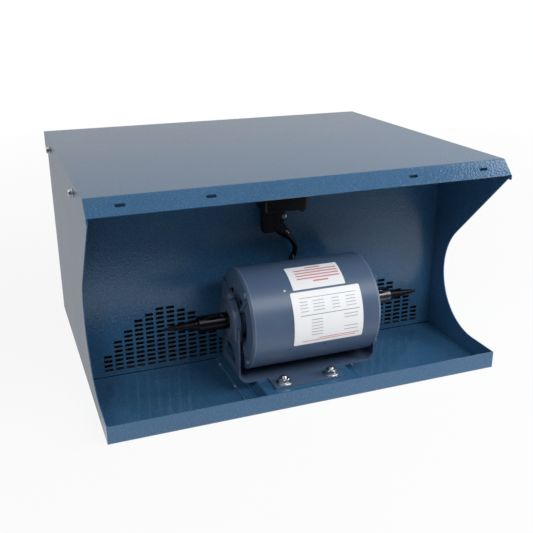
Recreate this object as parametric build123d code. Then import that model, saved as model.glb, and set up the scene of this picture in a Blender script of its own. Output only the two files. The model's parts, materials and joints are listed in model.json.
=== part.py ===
from build123d import *
import os
from math import cos, radians, sin, sqrt, tan

# Double spindle polishing machine: an open-fronted sheet steel cabinet, a motor in a resilient
# cradle that drives a tapered spindle at each end of its shaft, and a dust compartment behind.
# Millimetres. X runs along the spindles, +Y to the back, +Z up, origin under the middle.

# Cabinet
CABINET_WIDTH = 610.0
CABINET_HEIGHT = 333.0
CABINET_DEPTH = 520.0
SHEET = 1.5
LIP_HEIGHT = 28.0
LIP_BEND = 2.5
REAR_OVERHANG = 20.0
REAR_FLANGE = 14.0
CUTOUT_DEPTH = 152.0
NOSE_SETBACK = 9.0

# Cover
COVER_SETBACK = 24.0
COVER_FRONT_RUN = 20.0
COVER_SIDE_DROP = 27.5
COVER_GAP = 0.25
COVER_BEND = 3.0
COVER_EDGE = 1.4
NOSE_CLEARANCE = 2.0
FLANGE_SLOT_LENGTH = 14.0
FLANGE_SLOT_WIDTH = 5.0
OUTER_SLOT_INSET = 42.0
INNER_SLOT_INSET = 158.0
FRONT_SCREW_SETBACK = 123.0
BACK_SCREW_INSET = 70.0
COVER_SCREW_DROP = 17.0

# Vented inner wall
WALL_FLANGE = 12.0
VENT_COLUMN_COUNTS = (4, 7, 9, 11, 12, 13, 13, 12, 11, 9, 7, 4)
VENT_PITCH_X = 16.95
VENT_PITCH_Z = 7.62
VENT_SLOT_LENGTH = 13.0
VENT_SLOT_WIDTH = 5.1
VENT_SLOT_CORNER = 1.2
VENT_SIDE_MARGIN = 34.0
VENT_FLOOR_MARGIN = 12.2

# Motor rail on the floor
RAIL_HEIGHT = 20.0
RAIL_TOP_WIDTH = 146.0
RAIL_SPLAY = 6.0
RAIL_FLANGE = 19.0
RAIL_SHEET = 2.0
RAIL_BEND = 3.0

# Motor frame
MOTOR_X = 11.5
FRONT_CLEARANCE = 22.0
WALL_CLEARANCE = 13.0
SHELL_CLEARANCE = 9.9
SHELL_RADIUS = 76.0
SHELL_WALL = 2.0
LEFT_SKIRT = 8.0
RIGHT_SKIRT = 24.5
SPIGOT = 7.0
SPIGOT_WALL = 3.0
BELL_DISC = 4.0
BELL_CONE = 3.0
BELL_HUB_RADIUS = 24.0
BELL_HUB_OUT = 18.0
BELL_HUB_IN = 14.0
BELL_RIB_HEIGHT = 2.5
BELL_RIB_WIDTH = 4.0
BELL_WINDOWS = ((0, 75), (62, 28), (118, 28), (180, 75), (242, 28), (298, 28))
BELL_WINDOW_INSET = 3.0
BELL_WINDOW_REACH = 12.5
FIT = 0.1
RUNNING_FIT = 0.05

# Motor inner pieces
SHAFT_RADIUS = 7.94
BUSH_RADIUS = 13.0
STATOR_LENGTH = 90.0
AIR_GAP = 0.6
TOOTH_TIP = 4.0
WINDING_LENGTH = 20.0
WINDING_WIDTH = 15.0
WINDING_MARGIN = 9.0
WINDING_ROOM = 13.5
END_RING_LENGTH = 8.0
END_RING_WIDTH = 12.0
END_RING_STEP = 2.4
FAN_GAP = 6.0
FAN_ROOM = 4.5
FAN_MARGIN = 18.0
FAN_HUB_WALL = 8.0
FAN_PLATE = 2.0
FAN_WIDTH = 13.0
FAN_BLADES = 8
FAN_BLADE_LENGTH = 24.0
THROUGH_BOLT_ANGLES = (40, 130, 220, 310)
THROUGH_BOLT_INSET = 6.0
THROUGH_BOLT_RADIUS = 2.4
THROUGH_BOLT_HEAD_FLATS = 8.0
THROUGH_BOLT_HEAD = 4.0

# Resilient cradle
RING_RADIUS = 34.5
RING_WIDTH = 11.0
RING_EDGE = 2.0
RING_GAP = 1.3
RING_GROOVE = 3.5
RING_GROOVE_DEPTH = 1.5
CRADLE_SHEET = 3.0
CRADLE_BEND = 14.0
CRADLE_HORN = 5.5
CRADLE_TAB_SIDE = 16.9
CRADLE_TAB_REACH = 12.0
CRADLE_WINDOW_WIDTH = 46.0
CRADLE_WINDOW_HEIGHT = 26.0
CRADLE_WINDOW_DROP = 4.0
STRAP_WIDTH = 10.0
STRAP_SHEET = 1.2
STRAP_LEG = 20.0
STRAP_CLEARANCE = 0.3
STRAP_EAR_HEIGHT = 9.0
STRAP_EAR_GAP = 3.0
STRAP_EAR_LEAN = 7.0
MOUNT_HOLES_X = 76.2
MOUNT_HOLES_Y = 123.8
MOUNT_BOLT_RADIUS = 3.97
MOUNT_HOLE_CLEARANCE = 0.33
MOUNT_NUT_FLATS = 15.0
MOUNT_NUT_HEIGHT = 8.5
MOUNT_NUT_COLLAR = 11.2
MOUNT_NUT_COLLAR_HEIGHT = 2.2
MOUNT_BOLT_HEAD = 5.0
MOUNT_BOLT_STUB = 3.5

# Spindles
HUB_RADIUS = 12.5
HUB_GAP = 2.0
LEFT_HUB_LENGTH = 43.5
RIGHT_HUB_LENGTH = 35.5
TAPER_LENGTH = 50.0
TAPER_RADIUS = 8.5
TIP_RADIUS = 2.0
HUB_BORE_DEPTH = 28.0
HUB_EDGE = 1.2
SET_SCREW_RADIUS = 3.0
SET_SCREW_INSET = 12.0
SET_SCREW_ANGLE = 125.0

# Motor plates
PLATE_SHEET = 0.4
RATING_PLATE_MARGIN = 2.5
RATING_PLATE_WIDTH = 109.5
RATING_PLATE_ANGLES = (-18.0, 43.0)
NOTICE_PLATE_MARGIN = 22.5
NOTICE_PLATE_WIDTH = 83.0
NOTICE_PLATE_ANGLES = (45.5, 78.0)

# Switch
SWITCH_LEFT = -24.0
SWITCH_WIDTH = 70.5
SWITCH_REACH = 40.0
SWITCH_HEIGHT = 81.5
SWITCH_WALL = 2.5
SWITCH_CORNER = 5.0
SWITCH_BOSS_INSET = 9.5
SWITCH_BOSS_RADIUS = 6.5
SWITCH_BOSS_DROP = 2.8
SWITCH_BOSS_LENGTH = 24.0
ROCKER_INSET = 24.5
ROCKER_DROP = 44.0
ROCKER_WIDTH = 18.0
ROCKER_HEIGHT = 25.0
ROCKER_THICKNESS = 8.0
ROCKER_PROUD = 3.0
ROCKER_TILT = 10.0
ROCKER_CLEARANCE = 0.5
TRUNNION_RADIUS = 2.0
TRUNNION_LENGTH = 2.5
CHEEK = 3.0
JUNCTION_INSET = 2.0
JUNCTION_WIDTH = 32.5
JUNCTION_REACH = 29.0
JUNCTION_DEPTH = 18.0
JUNCTION_HEIGHT = 34.5
JUNCTION_CUT = 17.0
PILLAR_OFFSET = 0.8
PILLAR_DROP = 10.5
PILLAR_RADIUS = 5.5
PILLAR_SETBACK = 2.0

# Motor lead and glands
CABLE_RADIUS = 4.3
GLAND_BORE_GAP = 0.2
GLAND_FLATS = 17.0
GLAND_HEX = 6.0
SWITCH_GLAND_HEX = 13.0
SWITCH_GLAND_NOSE = 11.0
GLAND_NOSE_RADIUS = 8.0
GLAND_NOSE = 6.0
GLAND_NECK = 6.2
MOTOR_GLAND_X = 27.0
MOTOR_GLAND_ANGLE = 35.0
MOTOR_GLAND_HEX = 4.0
MOTOR_GLAND_NOSE = 5.0
MAINS_GLAND_INSET = 85.0
MAINS_GLAND_Z = 60.0

# Dust compartment
FILTER_THICKNESS = 25.0
FILTER_HEIGHT = 122.0
FILTER_INNER_X = 55.0
FILTER_CLEARANCE = 0.3
FILTER_RAIL_SHEET = 1.2
FILTER_RAIL_DEPTH = 12.0
EXHAUST_Z = 165.0
EXHAUST_BLADE_RADIUS = 92.0
EXHAUST_TIP_GAP = 3.0
EXHAUST_RING_WALL = 3.0
EXHAUST_FLANGE = 13.0
EXHAUST_FLANGE_SHEET = 3.0
EXHAUST_DEPTH = 40.0
EXHAUST_CAN_RADIUS = 34.0
EXHAUST_CAN_END = 8.0
EXHAUST_CUP_CLEARANCE = 4.0
EXHAUST_CUP_WALL = 3.0
EXHAUST_CUP_GAP = 2.0
EXHAUST_SHAFT_RADIUS = 4.0
EXHAUST_STRUT = 8.0
EXHAUST_BLADES = 5
EXHAUST_BLADE_CHORD = 26.0
EXHAUST_BLADE_SHEET = 2.0
EXHAUST_BLADE_PITCH = 35.0
GUARD_SHEET = 2.0
GUARD_RING_WIDTH = 3.0
GUARD_RINGS = 5

# Small screws
SCREW_RADIUS = 2.0
SCREW_HEAD_RADIUS = 4.0
SCREW_HEAD = 2.2
SCREW_HEAD_EDGE = 1.0
SCREW_LENGTH = 7.0
SCREW_CLEARANCE = 0.15
REAR_SCREW_INSET = 40.0
COVER_SCREW_FLATS = 9.5
COVER_SCREW_COLLAR = 6.2
COVER_SCREW_COLLAR_SHEET = 1.2
COVER_SCREW_HEAD = 6.0

# Places worked out from the sizes above
FRONT = -CABINET_DEPTH / 2
HALF_WIDTH = CABINET_WIDTH / 2
INNER_HALF = HALF_WIDTH - SHEET
BODY_BACK = FRONT + CABINET_DEPTH - REAR_OVERHANG
TOP_INSIDE = CABINET_HEIGHT - SHEET
COVER_SCREW_YS = (FRONT + FRONT_SCREW_SETBACK, BODY_BACK - BACK_SCREW_INSET)
COVER_SCREW_Z = CABINET_HEIGHT - COVER_SCREW_DROP
REAR_SCREW_ZS = (REAR_SCREW_INSET, TOP_INSIDE / 2, TOP_INSIDE - REAR_SCREW_INSET)
SCREW_HOLE = SCREW_RADIUS + SCREW_CLEARANCE

CRADLE_TAB_HALF = MOUNT_HOLES_Y / 2 + CRADLE_TAB_REACH
MOTOR_HALF_DEPTH = max(SHELL_RADIUS, CRADLE_TAB_HALF)
SHAFT_Y = FRONT + FRONT_CLEARANCE + MOTOR_HALF_DEPTH
SHAFT_Z = RAIL_HEIGHT + CRADLE_SHEET + SHELL_CLEARANCE + SHELL_RADIUS
WALL_Y = SHAFT_Y + MOTOR_HALF_DEPTH + WALL_CLEARANCE
MOUNT_HOLE_RADIUS = MOUNT_BOLT_RADIUS + MOUNT_HOLE_CLEARANCE

LEFT_ROOM = BELL_HUB_IN + WINDING_ROOM + WINDING_LENGTH
RIGHT_ROOM = WINDING_LENGTH + FAN_GAP + FAN_WIDTH + FAN_ROOM + BELL_HUB_IN
MOTOR_LENGTH = LEFT_ROOM + STATOR_LENGTH + RIGHT_ROOM
LEFT_RIM = MOTOR_X - MOTOR_LENGTH / 2
RIGHT_RIM = MOTOR_X + MOTOR_LENGTH / 2
STATOR_LEFT = LEFT_RIM + LEFT_ROOM
STATOR_RIGHT = RIGHT_RIM - RIGHT_ROOM
SHELL_INSIDE = SHELL_RADIUS - SHELL_WALL
SHELL_RIGHT = RIGHT_RIM - RIGHT_SKIRT
THROUGH_BOLT_CIRCLE = SHELL_RADIUS - THROUGH_BOLT_INSET
WINDING_OUTER = THROUGH_BOLT_CIRCLE - WINDING_MARGIN
WINDING_INNER = WINDING_OUTER - WINDING_WIDTH
STATOR_BORE = WINDING_INNER - TOOTH_TIP
ROTOR_RADIUS = STATOR_BORE - AIR_GAP
END_RING_OUTER = ROTOR_RADIUS - END_RING_STEP
END_RING_INNER = END_RING_OUTER - END_RING_WIDTH
FAN_RADIUS = THROUGH_BOLT_CIRCLE - FAN_MARGIN

BELL_END = BELL_DISC + BELL_RIB_HEIGHT
RING_START = BELL_END + RING_GAP
RING_END = RING_START + RING_WIDTH
ARM_START = RING_START + (RING_WIDTH - CRADLE_SHEET) / 2
HUB_START = max(BELL_HUB_OUT, RING_END) + HUB_GAP
LEFT_HUB_X = LEFT_RIM - HUB_START
RIGHT_HUB_X = RIGHT_RIM + HUB_START

SWITCH_FRONT = WALL_Y - SWITCH_REACH
SWITCH_FLOOR = TOP_INSIDE - SWITCH_HEIGHT
SWITCH_RIGHT = SWITCH_LEFT + SWITCH_WIDTH
ROCKER_PIVOT = (
    SWITCH_RIGHT - ROCKER_INSET,
    SWITCH_FRONT + ROCKER_THICKNESS - ROCKER_PROUD,
    TOP_INSIDE - ROCKER_DROP,
)
ROCKER_SWEEP = sqrt((ROCKER_HEIGHT / 2) ** 2 + ROCKER_THICKNESS**2)
JUNCTION_LEFT = SWITCH_LEFT + JUNCTION_INSET
JUNCTION_RIGHT = JUNCTION_LEFT + JUNCTION_WIDTH
JUNCTION_FLOOR = SWITCH_FLOOR - JUNCTION_HEIGHT
JUNCTION_FRONT = WALL_Y - JUNCTION_REACH
PILLAR_X = JUNCTION_RIGHT + PILLAR_OFFSET
PILLAR_Z = SWITCH_FLOOR - PILLAR_DROP
PILLAR_LENGTH = JUNCTION_REACH - PILLAR_SETBACK
CABLE_BORE = CABLE_RADIUS + GLAND_BORE_GAP
SWITCH_GLAND_AXIS = (1 / sqrt(2), 0, -1 / sqrt(2))
MOTOR_GLAND_AXIS = (0, cos(radians(MOTOR_GLAND_ANGLE)), sin(radians(MOTOR_GLAND_ANGLE)))
MAINS_GLAND_X = MAINS_GLAND_INSET - HALF_WIDTH
SET_SCREW_AXIS = (0, cos(radians(SET_SCREW_ANGLE)), sin(radians(SET_SCREW_ANGLE)))

FILTER_FRONT = WALL_Y + SHEET + FILTER_RAIL_SHEET + FILTER_CLEARANCE
FILTER_FLOOR = SHEET + FILTER_RAIL_SHEET
FILTER_ROOF = FILTER_FLOOR + FILTER_HEIGHT + FILTER_CLEARANCE
FILTER_HALF = INNER_HALF - 2 * SHEET
EXHAUST_RING = EXHAUST_BLADE_RADIUS + EXHAUST_TIP_GAP
EXHAUST_CUP_RADIUS = EXHAUST_CAN_RADIUS + EXHAUST_CUP_CLEARANCE + EXHAUST_CUP_WALL
EXHAUST_SCREW_CIRCLE = EXHAUST_RING + (EXHAUST_FLANGE + EXHAUST_RING_WALL) / 2
ALONG_X = (1, 0, 0)
ALONG_Y = (0, 1, 0)
ALONG_Z = (0, 0, 1)


def block(x0, x1, y0, y1, z0, z1):
    centre = Pos((x0 + x1) / 2, (y0 + y1) / 2, (z0 + z1) / 2)
    return centre * Box(abs(x1 - x0), abs(y1 - y0), abs(z1 - z0))


def along_x(face, x0, x1):
    plane = Plane(origin=(x0, 0, 0), x_dir=(0, 1, 0), z_dir=(1, 0, 0))
    return extrude(plane * face, x1 - x0)


def along_y(face, y0, y1):
    plane = Plane(origin=(0, y1, 0), x_dir=(1, 0, 0), z_dir=(0, -1, 0))
    return extrude(plane * face, y1 - y0)


def rod(start, direction, radius, length):
    return Plane(origin=start, z_dir=direction) * extrude(Circle(radius), length)


def drill(centre, direction, radius, depth):
    """A round hole that reaches depth to both sides of its centre."""
    return Plane(origin=centre, z_dir=direction) * extrude(Circle(radius), depth, both=True)


def hexagon(start, direction, flats, length):
    section = RegularPolygon(flats / 2, 6, major_radius=False)
    return Plane(origin=start, z_dir=direction) * extrude(section, length)


def outlined(points):
    return make_face(Polyline(*points, close=True))


def bent(face, corners, radius):
    """Round the given corners of a section."""
    for corner in corners:
        face = fillet(face.vertices().sort_by_distance(corner)[0], radius)
    return face


def turned(points):
    return revolve(outlined(points), Axis.X, 360)


def on_circle(radius, angle):
    return (radius * cos(radians(angle)), radius * sin(radians(angle)))


def pan_screw(seat, inward, length=SCREW_LENGTH):
    """A pan-head screw whose head lies on seat and whose shank points inward."""
    shank = extrude(Circle(SCREW_RADIUS), length)
    head = extrude(Circle(SCREW_HEAD_RADIUS), -SCREW_HEAD)
    rim = head.edges().sort_by(Axis.Z)[0]
    return Plane(origin=seat, z_dir=inward) * (shank + fillet(rim, SCREW_HEAD_EDGE))


def collar_screw(seat, inward):
    """A hexagon screw with a collar that lies on seat; its shank points inward."""
    section = RegularPolygon(COVER_SCREW_FLATS / 2, 6, major_radius=False)
    screw = extrude(Circle(SCREW_RADIUS), SCREW_LENGTH)
    screw += extrude(Circle(COVER_SCREW_COLLAR), -COVER_SCREW_COLLAR_SHEET)
    return Plane(origin=seat, z_dir=inward) * (screw + extrude(section, -COVER_SCREW_HEAD))


def on_shaft(shape, x, outward):
    """Put a piece drawn along +X from the origin on the shaft line, facing right (1) or left (-1)."""
    if outward < 0:
        shape = mirror(shape, about=Plane.YZ)
    return Pos(x, SHAFT_Y, SHAFT_Z) * shape


def base_pan():
    face = outlined(
        [
            (FRONT, 0),
            (BODY_BACK, 0),
            (BODY_BACK, SHEET),
            (FRONT + SHEET, SHEET),
            (FRONT + SHEET, LIP_HEIGHT),
            (FRONT, LIP_HEIGHT),
        ]
    )
    pan = along_x(bent(face, [(FRONT, 0)], LIP_BEND), -HALF_WIDTH, HALF_WIDTH)
    for side in (-1, 1):
        pan -= block(side * INNER_HALF, side * HALF_WIDTH, FRONT + SHEET, BODY_BACK, 0, LIP_HEIGHT)
    return pan


def side_outline():
    """The side panel: a 45 degree front edge runs into a round cut-out that ends level with the lip."""
    diagonal = NOSE_SETBACK + CABINET_HEIGHT - COVER_SIDE_DROP
    radius = (diagonal - LIP_HEIGHT - CUTOUT_DEPTH) / sqrt(2)
    centre = Vector(FRONT + CUTOUT_DEPTH - radius, LIP_HEIGHT + radius)
    upper, middle, lower = [centre + Vector(*on_circle(radius, angle)) for angle in (45, -22.5, -90)]
    top_front = COVER_SETBACK + SHEET + NOSE_CLEARANCE
    slope = TOP_INSIDE - top_front
    edges = Polyline(
        lower,
        (FRONT + SHEET, LIP_HEIGHT),
        (FRONT + SHEET, 0),
        (BODY_BACK, 0),
        (BODY_BACK, TOP_INSIDE),
        (FRONT + top_front, TOP_INSIDE),
        (FRONT + (diagonal - slope) / 2, (diagonal + slope) / 2),
        upper,
    )
    return make_face(edges + ThreePointArc(upper, middle, lower))


def rear_screw_places():
    x = INNER_HALF - REAR_FLANGE / 2
    return [(side * x, z) for side in (-1, 1) for z in REAR_SCREW_ZS]


def side_panel(side):
    x0, x1 = sorted((side * INNER_HALF, side * HALF_WIDTH))
    panel = along_x(side_outline(), x0, x1)
    inner = side * (INNER_HALF - REAR_FLANGE)
    panel += block(inner, side * INNER_HALF, BODY_BACK - SHEET, BODY_BACK, SHEET, TOP_INSIDE)
    for y in COVER_SCREW_YS:
        panel -= drill((side * HALF_WIDTH, y, COVER_SCREW_Z), ALONG_X, SCREW_HOLE, 2 * SHEET)
    for x, z in rear_screw_places():
        panel -= drill((x, BODY_BACK, z), ALONG_Y, SCREW_HOLE, 2 * SHEET)
    return panel


def top_cover():
    bend = FRONT + COVER_SETBACK
    tip_y = bend - COVER_FRONT_RUN
    tip_z = CABINET_HEIGHT - COVER_FRONT_RUN
    inset = SHEET / sqrt(2)
    back = BODY_BACK + REAR_OVERHANG
    half = HALF_WIDTH + COVER_GAP
    inner_bend = (bend + SHEET * (sqrt(2) - 1), TOP_INSIDE)
    roof = outlined(
        [
            (back, CABINET_HEIGHT),
            (bend, CABINET_HEIGHT),
            (tip_y, tip_z),
            (tip_y + inset, tip_z - inset),
            inner_bend,
            (back, TOP_INSIDE),
        ]
    )
    skirt_foot = CABINET_HEIGHT - COVER_SIDE_DROP
    skirt = outlined(
        [
            (back, CABINET_HEIGHT),
            (bend, CABINET_HEIGHT),
            (tip_y, tip_z),
            (tip_y, skirt_foot),
            (back, skirt_foot),
        ]
    )
    roof = bent(bent(roof, [(bend, CABINET_HEIGHT)], COVER_BEND), [inner_bend], COVER_BEND - SHEET)
    skirt = bent(skirt, [(bend, CABINET_HEIGHT)], COVER_BEND)
    cover = along_x(roof, -half - SHEET, half + SHEET)
    for side in (-1, 1):
        cover += along_x(skirt, *sorted((side * half, side * (half + SHEET))))
    for side_edges in (cover.edges().group_by(Axis.X)[0], cover.edges().group_by(Axis.X)[-1]):
        cover = fillet(side_edges.filter_by(Axis.Y).sort_by(Axis.Z)[-1:], COVER_EDGE)
    for side in (-1, 1):
        for y in COVER_SCREW_YS:
            cover -= drill((side * half, y, COVER_SCREW_Z), ALONG_X, SCREW_HOLE, 2 * SHEET)
        for inset_x in (OUTER_SLOT_INSET, INNER_SLOT_INSET):
            middle = (side * (HALF_WIDTH - inset_x), (bend + tip_y) / 2, (CABINET_HEIGHT + tip_z) / 2)
            plane = Plane(origin=middle, x_dir=(1, 0, 0), z_dir=(0, -1, 1))
            slot = SlotOverall(FLANGE_SLOT_LENGTH, FLANGE_SLOT_WIDTH)
            cover -= extrude(plane * slot, 2 * SHEET, both=True)
    return cover


def vent_slots():
    slot = RectangleRounded(VENT_SLOT_LENGTH, VENT_SLOT_WIDTH, VENT_SLOT_CORNER)
    slots = []
    for side in (-1, 1):
        for column, count in enumerate(VENT_COLUMN_COUNTS):
            x = side * (HALF_WIDTH - VENT_SIDE_MARGIN - column * VENT_PITCH_X)
            for row in range(count):
                slots.append(Pos(x, VENT_FLOOR_MARGIN + row * VENT_PITCH_Z) * slot)
    return slots


def vent_wall():
    height = TOP_INSIDE - SHEET
    face = Pos(0, SHEET + height / 2) * Rectangle(2 * INNER_HALF, height)
    back = WALL_Y + SHEET
    wall = along_y(face - vent_slots(), WALL_Y, back)
    for side in (-1, 1):
        inner = side * (INNER_HALF - SHEET)
        wall += block(inner, side * INNER_HALF, back, back + WALL_FLANGE, SHEET, TOP_INSIDE)
    return wall - drill((PILLAR_X, WALL_Y, PILLAR_Z), ALONG_Y, SCREW_HOLE, 2 * SHEET)


def exhaust_screw_places():
    corners = [on_circle(EXHAUST_SCREW_CIRCLE, angle) for angle in (45, 135, 225, 315)]
    return [(x, EXHAUST_Z + z) for x, z in corners]


def rear_panel():
    panel = block(-INNER_HALF, INNER_HALF, BODY_BACK, BODY_BACK + SHEET, 0, TOP_INSIDE)
    panel -= drill((0, BODY_BACK, EXHAUST_Z), ALONG_Y, EXHAUST_RING, 2 * SHEET)
    gland = (MAINS_GLAND_X, BODY_BACK, MAINS_GLAND_Z)
    panel -= drill(gland, ALONG_Y, GLAND_NECK + FIT, 2 * SHEET)
    for x, z in rear_screw_places() + exhaust_screw_places():
        panel -= drill((x, BODY_BACK, z), ALONG_Y, SCREW_HOLE, 2 * SHEET)
    return panel


def mount_places():
    ys = (SHAFT_Y - MOUNT_HOLES_Y / 2, SHAFT_Y + MOUNT_HOLES_Y / 2)
    return [(side * MOUNT_HOLES_X / 2, y) for y in ys for side in (-1, 1)]


def motor_rail():
    top = RAIL_TOP_WIDTH / 2
    foot = top + RAIL_SPLAY
    edge = foot + RAIL_FLANGE
    flange = SHEET + RAIL_SHEET
    right_half = [
        (top, RAIL_HEIGHT),
        (foot, flange),
        (edge, flange),
        (edge, SHEET),
        (foot - RAIL_SHEET, SHEET),
        (top - RAIL_SHEET, RAIL_HEIGHT - RAIL_SHEET),
    ]
    left_half = [(-x, z) for x, z in reversed(right_half)]
    section = outlined(right_half + left_half)
    corners = right_half + left_half
    section = bent(section, [corners[index] for index in (0, 4, 7, 11)], RAIL_BEND)
    section = bent(section, [corners[index] for index in (1, 5, 6, 10)], RAIL_BEND - RAIL_SHEET)
    rail = along_y(section, FRONT + SHEET, WALL_Y)
    for x, y in mount_places():
        rail -= drill((x, y, RAIL_HEIGHT), ALONG_Z, MOUNT_HOLE_RADIUS, 2 * RAIL_SHEET)
    return rail


def motor_cradle():
    """A strip bent up at both ends; each arm ends in a half-round saddle for a resilient ring."""
    left = LEFT_RIM - ARM_START
    right = RIGHT_RIM + ARM_START
    base = RAIL_HEIGHT
    face = outlined(
        [
            (left - CRADLE_SHEET, SHAFT_Z),
            (left - CRADLE_SHEET, base),
            (right + CRADLE_SHEET, base),
            (right + CRADLE_SHEET, SHAFT_Z),
            (right, SHAFT_Z),
            (right, base + CRADLE_SHEET),
            (left, base + CRADLE_SHEET),
            (left, SHAFT_Z),
        ]
    )
    inner = [(left, base + CRADLE_SHEET), (right, base + CRADLE_SHEET)]
    outer = [(left - CRADLE_SHEET, base), (right + CRADLE_SHEET, base)]
    face = bent(bent(face, inner, CRADLE_BEND), outer, CRADLE_BEND + CRADLE_SHEET)
    half = RING_RADIUS + CRADLE_HORN
    cradle = along_y(face, SHAFT_Y - half, SHAFT_Y + half)
    tab = MOUNT_HOLES_X / 2 + CRADLE_TAB_SIDE
    front = SHAFT_Y - CRADLE_TAB_HALF
    cradle += block(-tab, tab, front, SHAFT_Y + CRADLE_TAB_HALF, base, base + CRADLE_SHEET)
    window_top = SHAFT_Z - RING_RADIUS - CRADLE_WINDOW_DROP
    for arm in (left, right):
        cradle -= drill((arm, SHAFT_Y, SHAFT_Z), ALONG_X, RING_RADIUS + FIT, 2 * CRADLE_SHEET)
        cradle -= block(
            arm - 2 * CRADLE_SHEET,
            arm + 2 * CRADLE_SHEET,
            SHAFT_Y - CRADLE_WINDOW_WIDTH / 2,
            SHAFT_Y + CRADLE_WINDOW_WIDTH / 2,
            window_top - CRADLE_WINDOW_HEIGHT,
            window_top,
        )
    for x, y in mount_places():
        cradle -= drill((x, y, base), ALONG_Z, MOUNT_HOLE_RADIUS, 2 * CRADLE_SHEET)
    return cradle


def resilient_ring():
    bore = BELL_HUB_RADIUS + FIT
    middle = (bore + RING_RADIUS - RING_EDGE) / 2
    groove_floor = RING_END - RING_GROOVE_DEPTH
    return turned(
        [
            (RING_START, bore),
            (RING_START, RING_RADIUS - RING_EDGE),
            (RING_START + RING_EDGE, RING_RADIUS),
            (RING_END - RING_EDGE, RING_RADIUS),
            (RING_END, RING_RADIUS - RING_EDGE),
            (RING_END, middle + RING_GROOVE / 2),
            (groove_floor, middle + RING_GROOVE / 2),
            (groove_floor, middle - RING_GROOVE / 2),
            (RING_END, middle - RING_GROOVE / 2),
            (RING_END, bore),
        ]
    )


def ring_strap():
    """A half band over the ring: slotted legs straddle the cradle arm, two ears on top take a screw."""
    inner = RING_RADIUS + FIT
    outer = inner + STRAP_SHEET
    middle = RING_START + RING_WIDTH / 2
    ear_y = (STRAP_EAR_GAP + STRAP_SHEET) / 2
    ear_top = outer + STRAP_EAR_HEIGHT
    below = Pos(0, -outer) * Rectangle(4 * outer, 2 * outer)
    face = Circle(outer) - Circle(inner) - below
    for side in (-1, 1):
        face += Pos(side * (inner + outer) / 2, -STRAP_LEG / 2) * Rectangle(STRAP_SHEET, STRAP_LEG)
        ear = Pos(side * ear_y, (inner + ear_top) / 2) * Rectangle(STRAP_SHEET, ear_top - inner)
        face += Rot(0, 0, STRAP_EAR_LEAN) * ear
    strap = along_x(face, middle - STRAP_WIDTH / 2, middle + STRAP_WIDTH / 2)
    notch = CRADLE_SHEET / 2 + STRAP_CLEARANCE
    strap -= block(middle - notch, middle + notch, -outer, outer, -STRAP_LEG, STRAP_CLEARANCE)
    hole = drill((middle, 0, outer + STRAP_EAR_HEIGHT / 2), ALONG_Y, SCREW_HOLE, 2 * STRAP_EAR_GAP)
    return strap - Rot(STRAP_EAR_LEAN, 0, 0) * hole


def strap_screws():
    middle = RING_START + RING_WIDTH / 2
    height = RING_RADIUS + FIT + STRAP_SHEET + STRAP_EAR_HEIGHT / 2
    seat = (middle, -STRAP_EAR_GAP / 2 - STRAP_SHEET, height)
    screw = Rot(STRAP_EAR_LEAN, 0, 0) * pan_screw(seat, ALONG_Y)
    return [on_shaft(screw, LEFT_RIM, -1), on_shaft(screw, RIGHT_RIM, 1)]


def end_bell(skirt):
    """A motor end shield with its rim at x = 0: spigot inward, hub, windows and ribs outward."""
    spigot_outer = SHELL_INSIDE - FIT
    spigot_inner = spigot_outer - SPIGOT_WALL
    bore = BUSH_RADIUS + FIT
    bell = turned(
        [
            (BELL_HUB_OUT, bore),
            (BELL_HUB_OUT, BELL_HUB_RADIUS),
            (BELL_DISC, BELL_HUB_RADIUS),
            (BELL_DISC, SHELL_RADIUS - BELL_CONE),
            (0, SHELL_RADIUS),
            (-skirt, SHELL_RADIUS),
            (-skirt, spigot_outer),
            (-skirt - SPIGOT, spigot_outer),
            (-skirt - SPIGOT, spigot_inner),
            (0, spigot_inner),
            (0, BELL_HUB_RADIUS),
            (-BELL_HUB_IN, BELL_HUB_RADIUS),
            (-BELL_HUB_IN, bore),
        ]
    )
    window_inner = BELL_HUB_RADIUS + BELL_WINDOW_INSET
    window_outer = RING_RADIUS + BELL_WINDOW_REACH
    opening = outlined(
        [
            (-BELL_DISC, window_inner),
            (2 * BELL_DISC, window_inner),
            (2 * BELL_DISC, window_outer),
            (-BELL_DISC, window_outer),
        ]
    )
    half_rib = BELL_RIB_WIDTH / 2
    rib_root = BELL_HUB_RADIUS - half_rib
    rib_top = THROUGH_BOLT_CIRCLE - THROUGH_BOLT_HEAD_FLATS / 2 - half_rib
    rib = block(BELL_DISC, BELL_END, rib_root, rib_top, -half_rib, half_rib)
    start = BELL_WINDOWS[-1][0] + BELL_WINDOWS[-1][1] / 2 - 360
    for middle, arc in BELL_WINDOWS:
        bell -= Rot(middle - arc / 2, 0, 0) * revolve(opening, Axis.X, arc)
        bell += Rot((start + middle - arc / 2) / 2, 0, 0) * rib
        start = middle + arc / 2
    for angle in THROUGH_BOLT_ANGLES:
        hole = (0, *on_circle(THROUGH_BOLT_CIRCLE, angle))
        bell -= drill(hole, ALONG_X, THROUGH_BOLT_RADIUS + FIT, 2 * (skirt + SPIGOT))
    return bell


def through_bolts():
    length = MOTOR_LENGTH + 2 * BELL_DISC
    bolts = []
    for angle in THROUGH_BOLT_ANGLES:
        y, z = on_circle(THROUGH_BOLT_CIRCLE, angle)
        bolt = rod((0, y, z), ALONG_X, THROUGH_BOLT_RADIUS, length)
        bolt += hexagon((0, y, z), (-1, 0, 0), THROUGH_BOLT_HEAD_FLATS, THROUGH_BOLT_HEAD)
        bolt += hexagon((length, y, z), ALONG_X, THROUGH_BOLT_HEAD_FLATS, THROUGH_BOLT_HEAD)
        bolts.append(on_shaft(bolt, LEFT_RIM - BELL_DISC, 1))
    return bolts


def motor_gland_point(radius):
    direction = Vector(*MOTOR_GLAND_AXIS)
    return Vector(MOTOR_GLAND_X, SHAFT_Y, SHAFT_Z) + direction * radius


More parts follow.
